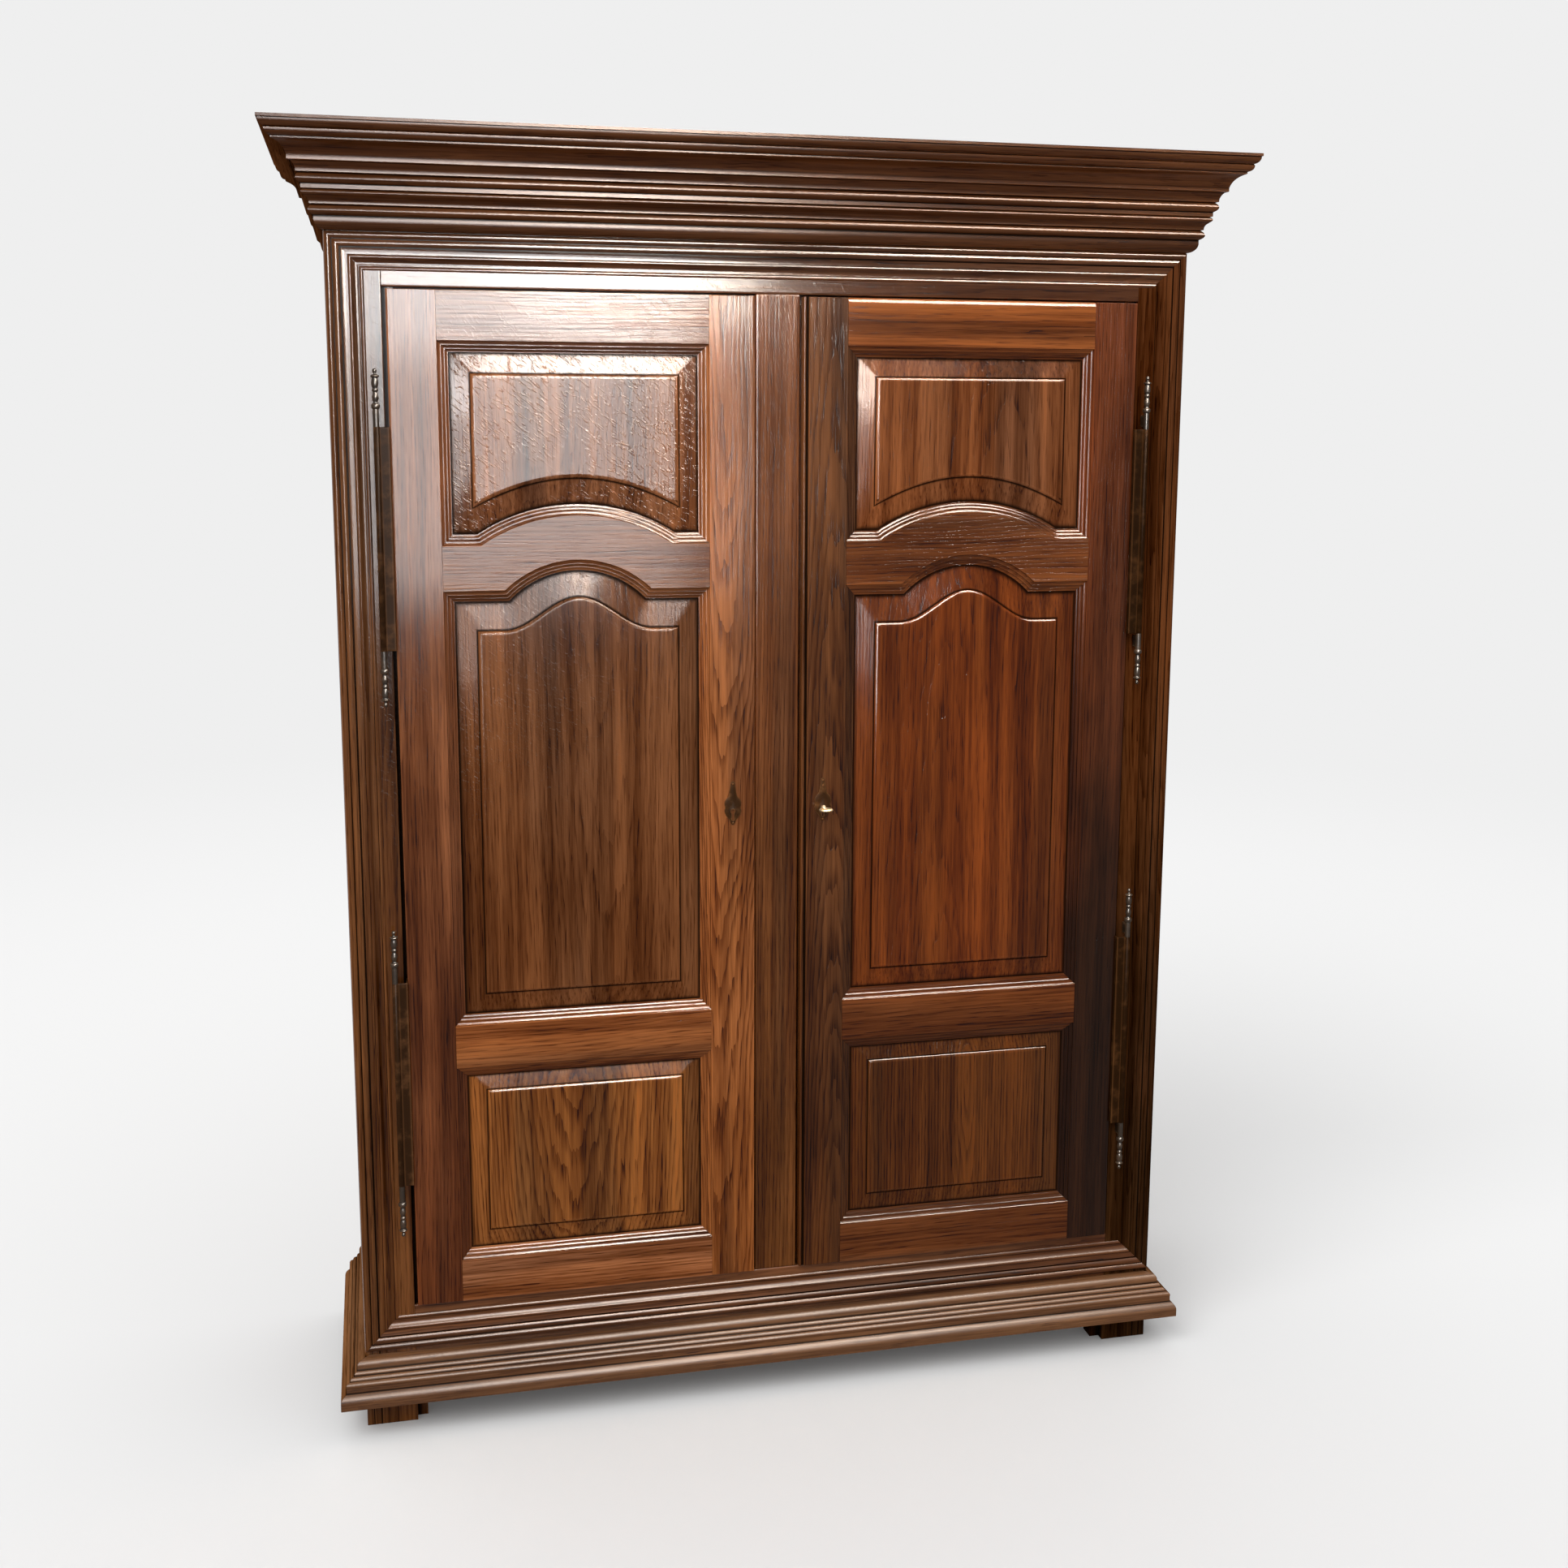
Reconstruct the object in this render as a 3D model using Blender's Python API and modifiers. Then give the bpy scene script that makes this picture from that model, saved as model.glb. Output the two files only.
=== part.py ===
"""Two-door wardrobe in dark waxed oak, in metres.

X runs along the width, the doors face -Y and Z is up. The origin lies on the floor under the middle of
the overall box. Front planes are stacked from the fascia, heights from the floor, widths from the middle.
"""

import math

import bmesh
import bpy

# Clearances
GLUE_GAP = 0.0003  # between two pieces that are joined
DOOR_GAP = 0.004  # over, under and beside the lock edge of a closed door
HINGE_GAP = 0.006  # beside the hinge edge, where the hinge flange lies
STOP_GAP = 0.001  # between a closed door and the rebate it shuts against
PIN_GAP = 0.0004  # round the hinge pin, and round the key's shank
SLIDE_GAP = 0.0005  # round a lock bolt

# Doors
DOOR_WIDTH = 0.604
DOOR_HEIGHT = 1.744
DOOR_THICKNESS = 0.028
DOOR_PROUD = 0.005  # how far the door face stands in front of the fascia
STILE_WIDTH = 0.078
TOP_RAIL = 0.080
ARCHED_RAIL = 0.075
LOWER_RAIL = 0.075
BOTTOM_RAIL = 0.076
UPPER_OPENING = 0.332
LOWER_OPENING = 0.355
UPPER_ARCH_HALF = 0.160
UPPER_ARCH_RISE = 0.049
MIDDLE_ARCH_HALF = 0.123
MIDDLE_ARCH_RISE = 0.050
ARCH_STEPS = 14
LOCK_BEAD = 0.005  # width of the bead along the right door's lock edge
LOCK_BEAD_DEPTH = 0.003

# Sticking round each door panel: inset from the frame's flat, depth below its face
STICKING = (
    (0.0005, 0.0020),
    (0.0070, 0.0045),
    (0.0070, 0.0060),
    (0.0130, 0.0085),
    (0.0130, 0.0100),
    (0.0180, 0.0115),
)
STICKING_WIDTH = STICKING[-1][0]
LIP = 0.0007  # flat edge of the sticking over the panel groove
GROOVE_DEPTH = 0.009
TONGUE = 0.006
PANEL_PLAY = 0.0015  # room left for the panel's tongue to swell across the groove
FIELD_STEP = 0.003
FIELD_BELOW_FACE = 0.0035
FIELD_INSET = 0.052
FIELD_ARCH_INSET = 0.062
MIDDLE_FIELD_INSET = 0.055
MIDDLE_SHOULDER_INSET = 0.068
MIDDLE_CROWN_INSET = 0.063
MIDDLE_CROWN_HALF = 0.125
LOWER_FIELD_TOP_INSET = 0.045

# Frame round the doors
CENTRE_POST_WIDTH = 0.076
SIDE_STRIP = 0.033
UPPER_STRIP = 0.030
LOWER_STRIP = 0.023
FASCIA_STRIP = 0.008  # plain strip between the frame moulding and the base moulding
STOP_LAP = 0.012  # how far the rebates reach in behind the doors
POST_DEPTH = 0.048
FLANGE_THICKNESS = 0.013  # rebate flange of the centre post, which the lock bolts catch behind
REED_COUNT = 5
REED_WIDTH = 0.0108
REED_LIP = 0.001  # rise of the moulding's inner edge from the flat
REED_STEP = 0.0012
REED_BULGE = 0.0018
SIDE_MARGIN = 0.001

# Carcass
BODY_DEPTH = 0.446
FOOT_HEIGHT = 0.060
RAIL_ABOVE_FOOT = 0.006
BACK_POST = 0.050
SIDE_RAIL_THICKNESS = 0.040
SIDE_PANEL_BEHIND = 0.0135  # from the post's outer side to the panel tongue
SIDE_FIELD_INSET = 0.045
FLOOR_BOARD = 0.020
FLOOR_BELOW_STOP = 0.011
TOP_BOARD = 0.018
TOP_BOARD_SUNK = 0.004  # below the top edge of the cornice
BACK_PANEL = 0.012
BACK_PANEL_INSET = 0.016

# Cornice and base mouldings: forward from the fascia, up from the lower edge, bulge of the stretch there
CORNICE_PROFILE = (
    (0.0000, 0.0000, 0.0),
    (0.0040, 0.0010, 0.0),
    (0.0130, 0.0170, 0.0030),
    (0.0130, 0.0210, 0.0),
    (0.0150, 0.0370, 0.0070),
    (0.0190, 0.0380, 0.0),
    (0.0250, 0.0490, -0.0020),
    (0.0260, 0.0500, 0.0),
    (0.0260, 0.0590, 0.0042),
    (0.0300, 0.0600, 0.0),
    (0.0300, 0.0670, 0.0),
    (0.0320, 0.0830, 0.0065),
    (0.0370, 0.0840, 0.0),
    (0.0440, 0.0990, -0.0020),
    (0.0490, 0.1000, 0.0),
    (0.0490, 0.1060, 0.0),
    (0.0690, 0.1270, -0.0040),
    (0.0710, 0.1280, 0.0),
    (0.0710, 0.1310, 0.0),
    (0.0800, 0.1410, 0.0030),
    (0.0785, 0.1430, 0.0),
    (0.0880, 0.1550, 0.0030),
    (0.0900, 0.1555, 0.0),
    (0.0900, 0.1600, 0.0),
)
BASE_PROFILE = (
    (0.0430, 0.0000, 0.0),
    (0.0430, 0.0140, 0.0),
    (0.0340, 0.0260, 0.0020),
    (0.0330, 0.0270, 0.0),
    (0.0330, 0.0370, 0.0),
    (0.0280, 0.0450, 0.0025),
    (0.0265, 0.0455, 0.0),
    (0.0200, 0.0510, 0.0020),
    (0.0190, 0.0520, 0.0),
    (0.0145, 0.0580, 0.0015),
    (0.0140, 0.0590, 0.0),
    (0.0140, 0.0640, 0.0),
    (0.0050, 0.0745, 0.0030),
    (0.0000, 0.0750, 0.0),
)
MOULDING_STEPS = 4

# Inside fittings
SHELF_BELOW_TOP = 0.480  # from the top board to the shelf
SHELF_THICKNESS = 0.020
CLEAT_THICKNESS = 0.024
CLEAT_HEIGHT = 0.100
HANGING_RAIL_RADIUS = 0.0125
HANGING_RAIL_DROP = 0.064  # rail axis below the cleat's top
HANGING_RAIL_SEAT = 0.012

# Rod hinges with turned finials
HINGE_DROPS = (0.126, 1.059)  # finial tip below the door top
HINGE_LENGTH = 0.550
HINGE_END = 0.092  # finial, ring and shoulder at each end, outside the barrel
AXIS_OUT = 0.015  # pin axis outside the door opening
AXIS_PROUD = 0.006  # pin axis in front of the door face
BARREL_RADIUS = 0.005
PIN_RADIUS = 0.003
LEAF_THICKNESS = 0.003
FLANGE_SHEET = 0.002
FLANGE_REACH = 0.021  # depth of the flange along the door's edge
LUG_WIDTH = 0.007
LUG_HEIGHT = 0.020
LUG_CENTRE = 0.078
# Finial from its tip: radius, distance along the pin
FINIAL = (
    (0.0000, 0.0000),
    (0.0028, 0.0010),
    (0.0035, 0.0040),
    (0.0022, 0.0080),
    (0.0066, 0.0110),
    (0.0066, 0.0130),
    (0.0046, 0.0160),
    (0.0054, 0.0230),
    (0.0040, 0.0310),
    (0.0050, 0.0350),
    (0.0034, 0.0380),
    (0.0052, 0.0450),
    (0.0036, 0.0530),
    (0.0068, 0.0570),
    (0.0068, 0.0630),
    (0.0048, 0.0660),
)
TURN_STEPS = 10

# Locks, escutcheons and key
LOCK_DROP = 0.880  # keyhole below the door top
KEYHOLE_RADIUS = 0.0034
KEYHOLE_SLOT = 0.0036
KEYHOLE_LENGTH = 0.016
ESCUTCHEON_WIDTH = 0.030
ESCUTCHEON_HEIGHT = 0.078
ESCUTCHEON_ABOVE = 0.054  # plate above the keyhole
ESCUTCHEON_SHEET = 0.0012
CASE_WIDTH = 0.056
CASE_HEIGHT = 0.072
CASE_DEPTH = 0.027
CASE_WALL = 0.0025
CASE_BELOW_KEY = 0.022
CASE_CLEARANCE = 0.005  # from the centre post's flange
BOLT_HEIGHT = 0.020
BOLT_THICKNESS = 0.008
BOLT_LENGTH = 0.048
BOLT_THROW = 0.012
BOLT_ABOVE_KEY = 0.0165
KEY_RADIUS = KEYHOLE_RADIUS - PIN_GAP
KEY_OUT = 0.012  # bare shank in front of the door
BOW_WIDTH = 0.026
BOW_LENGTH = 0.024
BOW_THICKNESS = 0.004
BOW_WALL = 0.005
BIT_LENGTH = 0.012
BIT_REACH = 0.0135
BIT_THICKNESS = 0.0026

# Widths from the middle
POST_HALF = CENTRE_POST_WIDTH / 2
LOCK_EDGE = POST_HALF + DOOR_GAP
HINGE_EDGE = LOCK_EDGE + DOOR_WIDTH
OPENING_EDGE = HINGE_EDGE + HINGE_GAP
STOP_EDGE = HINGE_EDGE - STOP_LAP
MOULDING_EDGE = OPENING_EDGE + SIDE_STRIP
MOULDING_WIDTH = REED_COUNT * REED_WIDTH
BODY_HALF = MOULDING_EDGE + MOULDING_WIDTH + SIDE_MARGIN
FLANGE_HALF = LOCK_EDGE + STOP_LAP + STOP_GAP
AXIS_X = OPENING_EDGE + AXIS_OUT
PANEL_X = BODY_HALF - SIDE_PANEL_BEHIND - TONGUE

# Depths
RELIEF = REED_LIP + REED_COUNT * REED_STEP
CORNICE_OVERHANG = CORNICE_PROFILE[-1][0]
BACK = (BODY_DEPTH + CORNICE_OVERHANG) / 2
FASCIA = BACK - BODY_DEPTH
FLAT = FASCIA + RELIEF
DOOR_FACE = FASCIA - DOOR_PROUD
DOOR_BACK = DOOR_FACE + DOOR_THICKNESS
STOP = DOOR_BACK + STOP_GAP
POST_REAR = FLAT + POST_DEPTH
AXIS_Y = DOOR_FACE - AXIS_PROUD
BACK_PANEL_FRONT = BACK - BACK_PANEL_INSET - BACK_PANEL

# Heights
BASE_HEIGHT = BASE_PROFILE[-1][1]
LOWER_MOULDING = FOOT_HEIGHT + BASE_HEIGHT + FASCIA_STRIP + MOULDING_WIDTH
OPENING_BOTTOM = LOWER_MOULDING + LOWER_STRIP
DOOR_BOTTOM = OPENING_BOTTOM + DOOR_GAP
DOOR_TOP = DOOR_BOTTOM + DOOR_HEIGHT
OPENING_TOP = DOOR_TOP + DOOR_GAP
UPPER_MOULDING = OPENING_TOP + UPPER_STRIP
CORNICE_BOTTOM = UPPER_MOULDING + MOULDING_WIDTH + 2 * GLUE_GAP
CORNICE_TOP = CORNICE_BOTTOM + CORNICE_PROFILE[-1][1]
TOP_BOARD_BOTTOM = CORNICE_TOP - TOP_BOARD_SUNK - TOP_BOARD
POST_TOP = TOP_BOARD_BOTTOM - GLUE_GAP
RAIL_BOTTOM = FOOT_HEIGHT + RAIL_ABOVE_FOOT
STOP_BOTTOM = DOOR_BOTTOM + STOP_LAP
STOP_TOP = DOOR_TOP - STOP_LAP
FLOOR_TOP = STOP_BOTTOM - FLOOR_BELOW_STOP
SIDE_RAIL_TOP = FLOOR_TOP - FLOOR_BOARD - GLUE_GAP
SIDE_TOP_RAIL_BOTTOM = UPPER_MOULDING + MOULDING_WIDTH
SHELF_BOTTOM = TOP_BOARD_BOTTOM - SHELF_BELOW_TOP
CLEAT_TOP = SHELF_BOTTOM - GLUE_GAP
KEY_Z = DOOR_TOP - LOCK_DROP
KEY_X = LOCK_EDGE + STILE_WIDTH / 2

# Each finish: base colour, roughness, metallic
FINISHES = {
    "oak_frame": ((0.105, 0.040, 0.018, 1.0), 0.38, 0.0),
    "oak_panel": ((0.130, 0.042, 0.016, 1.0), 0.40, 0.0),
    "oak_dark": ((0.060, 0.026, 0.014, 1.0), 0.42, 0.0),
    "oak_inside": ((0.170, 0.090, 0.045, 1.0), 0.65, 0.0),
    "iron": ((0.070, 0.058, 0.048, 1.0), 0.40, 1.0),
    "nickel": ((0.640, 0.560, 0.440, 1.0), 0.22, 1.0),
}


def clear_scene():
    for old in list(bpy.data.objects):
        bpy.data.objects.remove(old, do_unlink=True)


def new_collection(name):
    made = bpy.data.collections.new(name)
    bpy.context.scene.collection.children.link(made)
    return made


def finish(obj, kind):
    """Gives an object its own material in one of the finishes."""
    colour, roughness, metallic = FINISHES[kind]
    material = bpy.data.materials.new(f"{obj.name}_{kind}")
    material.use_nodes = True
    shader = material.node_tree.nodes["Principled BSDF"]
    shader.inputs["Base Color"].default_value = colour
    shader.inputs["Roughness"].default_value = roughness
    shader.inputs["Metallic"].default_value = metallic
    obj.data.materials.clear()
    obj.data.materials.append(material)


def place(name, mesh, kind, location=(0.0, 0.0, 0.0)):
    """Puts a mesh in the scene as a part, or as a helper that isn't rendered where kind is None."""
    obj = bpy.data.objects.new(name, mesh)
    obj.location = location
    if kind is None:
        HELPERS.objects.link(obj)
        obj.hide_render = True
        obj.display_type = "WIRE"
    else:
        PARTS.objects.link(obj)
        finish(obj, kind)
    return obj


def closed_mesh(name, bm):
    bmesh.ops.remove_doubles(bm, verts=bm.verts, dist=1e-6)
    bmesh.ops.recalc_face_normals(bm, faces=bm.faces)
    if bm.calc_volume(signed=True) < 0:
        bmesh.ops.reverse_faces(bm, faces=bm.faces)
    mesh = bpy.data.meshes.new(name)
    bm.to_mesh(mesh)
    bm.free()
    return mesh


def box(name, kind, x_range, y_range, z_range):
    """A box between two values on each axis, given in either order."""
    ranges = [sorted(pair) for pair in (x_range, y_range, z_range)]
    bm = bmesh.new()
    bmesh.ops.create_cube(bm, size=1.0)
    bmesh.ops.scale(bm, vec=[high - low for low, high in ranges], verts=bm.verts)
    return place(name, closed_mesh(name, bm), kind, [sum(pair) / 2 for pair in ranges])


def outline_solid(name, kind, loops, thickness, location, upright=True):
    """A flat outline, with holes as further loops, as a filled 2D curve of the given thickness."""
    curve = bpy.data.curves.new(name, "CURVE")
    curve.dimensions = "2D"
    curve.fill_mode = "BOTH"
    curve.extrude = thickness / 2
    for loop in loops:
        spline = curve.splines.new("POLY")
        spline.points.add(len(loop) - 1)
        for point, (across, up) in zip(spline.points, loop):
            point.co = (across, up, 0.0, 1.0)
        spline.use_cyclic_u = True
    guide = bpy.data.objects.new(name + "_guide", curve)
    HELPERS.objects.link(guide)
    bpy.context.view_layer.update()
    flat = bpy.data.meshes.new_from_object(guide.evaluated_get(bpy.context.evaluated_depsgraph_get()))
    bm = bmesh.new()
    bm.from_mesh(flat)
    bpy.data.objects.remove(guide, do_unlink=True)
    bpy.data.meshes.remove(flat)
    obj = place(name, closed_mesh(name, bm), kind, location)
    if upright:
        obj.rotation_euler = (math.pi / 2, 0.0, 0.0)
    return obj


def loft(name, kind, loops):
    """A solid through loops of equally many points, closed by a face at each end."""
    bm = bmesh.new()
    rings = [[bm.verts.new(point) for point in loop] for loop in loops]
    bm.faces.new(rings[0])
    bm.faces.new(rings[-1])
    for ring, following in zip(rings, rings[1:]):
        for i in range(len(ring)):
            j = (i + 1) % len(ring)
            bm.faces.new((ring[i], ring[j], following[j], following[i]))
    return place(name, closed_mesh(name, bm), kind)


def turned(name, kind, profile, location, steps=TURN_STEPS, along_y=False):
    """A profile of (radius, height) points, top to bottom, turned about its own Z axis."""
    mesh = bpy.data.meshes.new(name)
    edges = [(i, i + 1) for i in range(len(profile) - 1)]
    mesh.from_pydata([(radius, 0.0, height) for radius, height in profile], edges, [])
    obj = place(name, mesh, kind, location)
    if along_y:
        obj.rotation_euler = (math.pi / 2, 0.0, 0.0)
    screw = obj.modifiers.new("turn", "SCREW")
    screw.steps = steps
    screw.render_steps = steps
    screw.use_merge_vertices = True
    screw.merge_threshold = 1e-5
    screw.use_smooth_shade = True
    return obj


def join(target, *operands):
    for operand in operands:
        boolean(target, operand, "UNION")
    return target


def cut(target, *operands):
    for operand in operands:
        boolean(target, operand, "DIFFERENCE")
    return target


def boolean(target, operand, operation):
    modifier = target.modifiers.new(operand.name, "BOOLEAN")
    modifier.operation = operation
    modifier.solver = "EXACT"
    modifier.object = operand


def moulding_points(profile):
    """The profile's points, with each bulging stretch drawn as a shallow curve of MOULDING_STEPS parts."""
    points = [profile[0][:2]]
    for (c0, z0, _), (c1, z1, bulge) in zip(profile, profile[1:]):
        length = math.hypot(c1 - c0, z1 - z0)
        steps = MOULDING_STEPS if bulge else 1
        for step in range(1, steps + 1):
            share = step / steps
            lift = 4 * bulge * share * (1 - share) / length
            forward = c0 + share * (c1 - c0) + lift * (z1 - z0)
            points.append((forward, z0 + share * (z1 - z0) - lift * (c1 - c0)))
    return points


def mitred_mouldings(name, profile, lower_edge):
    """Front, left and right lengths of a moulding round the body, mitred at the two front corners."""
    points = [(c, z + lower_edge) for c, z in moulding_points(profile)]
    depth = GLUE_GAP - RELIEF
    front = [(depth, points[0][1]), *points, (depth, points[-1][1])]
    loft(
        f"{name}_front",
        "oak_frame",
        [[(side * (BODY_HALF + c - GLUE_GAP), FASCIA - c, z) for c, z in front] for side in (-1, 1)],
    )
    run = [(GLUE_GAP, points[0][1])]
    run += [(max(c, GLUE_GAP), z) for c, z in points if c > GLUE_GAP]
    run.append((GLUE_GAP, points[-1][1]))
    for side, word in ((-1, "left"), (1, "right")):
        mitre = [(side * (BODY_HALF + c), FASCIA - c + GLUE_GAP, z) for c, z in run]
        end = [(side * (BODY_HALF + c), BACK, z) for c, z in run]
        loft(f"{name}_{word}", "oak_frame", [mitre, end])


def reeds(back):
    """Cross-section of the stepped frame moulding: (out from its inner edge, forward of the flat)."""
    points = [(0.0, back), (0.0, REED_LIP)]
    for reed in range(REED_COUNT):
        for step in range(1, MOULDING_STEPS + 1):
            share = step / MOULDING_STEPS
            swell = 4 * REED_BULGE * share * (1 - share)
            points.append(((reed + share) * REED_WIDTH, REED_LIP + (reed + share) * REED_STEP + swell))
    points.append((MOULDING_WIDTH, back))
    return points


def post_moulding(side, word):
    """The frame moulding on a front post, mitred at both ends and sunk a little into the post."""
    section = reeds(-0.004)
    loops = []
    for start, outward in ((LOWER_MOULDING, -1), (UPPER_MOULDING, 1)):
        loop = [(side * (MOULDING_EDGE + t), FLAT - rise, start + outward * t) for t, rise in section]
        loops.append(loop)
    return loft(f"post_moulding_{word}", None, loops)


def rail_moulding(word, inner_edge, outward):
    """The frame moulding on a front rail, its mitred ends lying over the posts, and the core behind it."""
    section = reeds(GLUE_GAP)
    loops = []
    for side in (-1, 1):
        reach = [side * (MOULDING_EDGE + t - GLUE_GAP) for t, _ in section]
        loops.append([(x, FLAT - rise, inner_edge + outward * t) for x, (t, rise) in zip(reach, section)])
    run = loft(f"rail_moulding_{word}", None, loops)
    margin = REED_WIDTH / 2
    core = box(
        f"rail_core_{word}",
        None,
        (-MOULDING_EDGE + SIDE_STRIP + margin, MOULDING_EDGE - SIDE_STRIP - margin),
        (FLAT - REED_LIP / 2, FLAT + 0.004),
        (inner_edge + outward * margin, inner_edge + outward * (MOULDING_WIDTH - margin)),
    )
    return run, core


def side_words():
    return ((-1, "left"), (1, "right"))


def front_posts(panel_slots):
    """Corner posts with a rebate for the door, the frame moulding and the foot in one length each."""
    for side, word in side_words():
        plan = [
            (side * OPENING_EDGE, FLAT),
            (side * BODY_HALF, FLAT),
            (side * BODY_HALF, POST_REAR),
            (side * STOP_EDGE, POST_REAR),
            (side * STOP_EDGE, STOP),
            (side * OPENING_EDGE, STOP),
        ]
        name = f"front_post_{word}"
        middle = (0.0, 0.0, POST_TOP / 2)
        post = outline_solid(name, "oak_frame", [plan], POST_TOP, middle, upright=False)
        join(post, post_moulding(side, word))
        cut(post, panel_slots[side])


def back_posts(panel_slots, back_slot):
    for side, word in side_words():
        post = box(
            f"back_post_{word}",
            "oak_dark",
            (side * (BODY_HALF - BACK_POST), side * BODY_HALF),
            (BACK - BACK_POST, BACK),
            (0.0, POST_TOP),
        )
        cut(post, panel_slots[side], back_slot)


def front_rails():
    """Rails over and under the doors, rebated behind them, each with its length of the frame moulding."""
    rails = {
        "top": (POST_TOP, OPENING_TOP, STOP_TOP, UPPER_MOULDING, 1),
        "bottom": (RAIL_BOTTOM, OPENING_BOTTOM, STOP_BOTTOM, LOWER_MOULDING, -1),
    }
    for word, (outer, opening, stop, moulding, outward) in rails.items():
        section = (
            (FLAT, outer),
            (FLAT, opening),
            (STOP, opening),
            (STOP, stop),
            (POST_REAR, stop),
            (POST_REAR, outer),
        )
        half = STOP_EDGE - GLUE_GAP
        loops = [[(x, y, z) for y, z in section] for x in (-half, half)]
        rail = loft(f"front_{word}_rail", "oak_frame", loops)
        half = OPENING_EDGE - GLUE_GAP
        tongue = box(f"rail_tongue_{word}", None, (-half, half), (FLAT, STOP - GLUE_GAP), (outer, opening))
        run, core = rail_moulding(word, moulding, outward)
        join(rail, tongue, core, run)


def centre_post():
    """Fixed post between the doors, with a flange behind that both doors shut and lock against."""
    front_end = STOP - 0.0035
    low, high = OPENING_BOTTOM + GLUE_GAP, OPENING_TOP - GLUE_GAP
    post = box("centre_post", "oak_frame", (-POST_HALF, POST_HALF), (FLAT, front_end), (low, high))
    heights = (STOP_BOTTOM + GLUE_GAP, STOP_TOP - GLUE_GAP)
    web_half = POST_HALF - 0.001
    web = box("post_web", None, (-web_half, web_half), (front_end - 0.002, STOP + 0.004), heights)
    flange_y = (STOP, STOP + FLANGE_THICKNESS)
    flange = box("post_flange", None, (-FLANGE_HALF, FLANGE_HALF), flange_y, heights)
    join(post, web, flange)


def side_panel_loops(side, outline):
    """Loops of a fielded side panel, from its flat inner face out to the raised field."""
    (y0, y1), (z0, z1) = outline
    loops = []
    steps = (
        (0.0, PANEL_X),
        (0.0, PANEL_X + TONGUE),
        (GROOVE_DEPTH, PANEL_X + TONGUE),
        (SIDE_FIELD_INSET, PANEL_X + TONGUE + FIELD_STEP),
        (SIDE_FIELD_INSET, PANEL_X + TONGUE + 2 * FIELD_STEP),
    )
    for inset, x in steps:
        near, far, low, high = y0 + inset, y1 - inset, z0 + inset, z1 - inset
        corners = ((near, low), (far, low), (far, high), (near, high))
        loops.append([(side * x, y, z) for y, z in corners])
    return loops


def side_frames():
    """Side rails and fielded panels. Returns the slots that the posts share with them."""
    slots = {}
    front, back = POST_REAR + GLUE_GAP, BACK - BACK_POST - GLUE_GAP
    reach = GROOVE_DEPTH - PANEL_PLAY
    panel_y = (POST_REAR - reach, BACK - BACK_POST + reach)
    panel_z = (SIDE_RAIL_TOP - reach, SIDE_TOP_RAIL_BOTTOM + reach)
    for side, word in side_words():
        slots[side] = box(
            f"side_slot_{word}",
            None,
            (side * (PANEL_X - GLUE_GAP), side * (PANEL_X + TONGUE + GLUE_GAP)),
            (panel_y[0] - PANEL_PLAY, panel_y[1] + PANEL_PLAY),
            (panel_z[0] - PANEL_PLAY, panel_z[1] + PANEL_PLAY),
        )
        rail_x = (side * (BODY_HALF - SIDE_RAIL_THICKNESS), side * BODY_HALF)
        rail_y = (front, back)
        bottom = box(f"side_bottom_rail_{word}", "oak_dark", rail_x, rail_y, (RAIL_BOTTOM, SIDE_RAIL_TOP))
        top = box(f"side_top_rail_{word}", "oak_dark", rail_x, rail_y, (SIDE_TOP_RAIL_BOTTOM, POST_TOP))
        cut(bottom, slots[side])
        cut(top, slots[side])
        loft(f"side_panel_{word}", "oak_panel", side_panel_loops(side, (panel_y, panel_z)))
    return slots


def back_and_boards():
    """Back panel, floor board and top board. Returns the slot for the back panel in the back posts."""
    inner = BODY_HALF - BACK_POST
    reach = GROOVE_DEPTH - PANEL_PLAY
    slot = box(
        "back_slot",
        None,
        (-inner - GROOVE_DEPTH, inner + GROOVE_DEPTH),
        (BACK_PANEL_FRONT - GLUE_GAP, BACK_PANEL_FRONT + BACK_PANEL + GLUE_GAP),
        (RAIL_BOTTOM - GLUE_GAP, POST_TOP + 0.01),
    )
    box(
        "back_panel",
        "oak_inside",
        (-inner - reach, inner + reach),
        (BACK_PANEL_FRONT, BACK_PANEL_FRONT + BACK_PANEL),
        (RAIL_BOTTOM, POST_TOP),
    )
    notched_board("floor_board", FLOOR_TOP - FLOOR_BOARD, FLOOR_BOARD)
    box(
        "top_board",
        "oak_dark",
        (-BODY_HALF + GLUE_GAP, BODY_HALF - GLUE_GAP),
        (FLAT + GLUE_GAP, BACK - GLUE_GAP),
        (TOP_BOARD_BOTTOM, TOP_BOARD_BOTTOM + TOP_BOARD),
    )
    return slot


def notched_board(name, bottom, thickness):
    """A board across the inside, notched round the back posts."""
    front, notch, rear = POST_REAR + GLUE_GAP, BACK - BACK_POST - GLUE_GAP, BACK_PANEL_FRONT - GLUE_GAP
    wide = PANEL_X - 2 * GLUE_GAP
    narrow = BODY_HALF - BACK_POST - GLUE_GAP
    right = [(wide, front), (wide, notch), (narrow, notch), (narrow, rear)]
    plan = right + [(-x, y) for x, y in reversed(right)]
    middle = (0.0, 0.0, bottom + thickness / 2)
    return outline_solid(name, "oak_inside", [plan], thickness, middle, upright=False)


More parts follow.
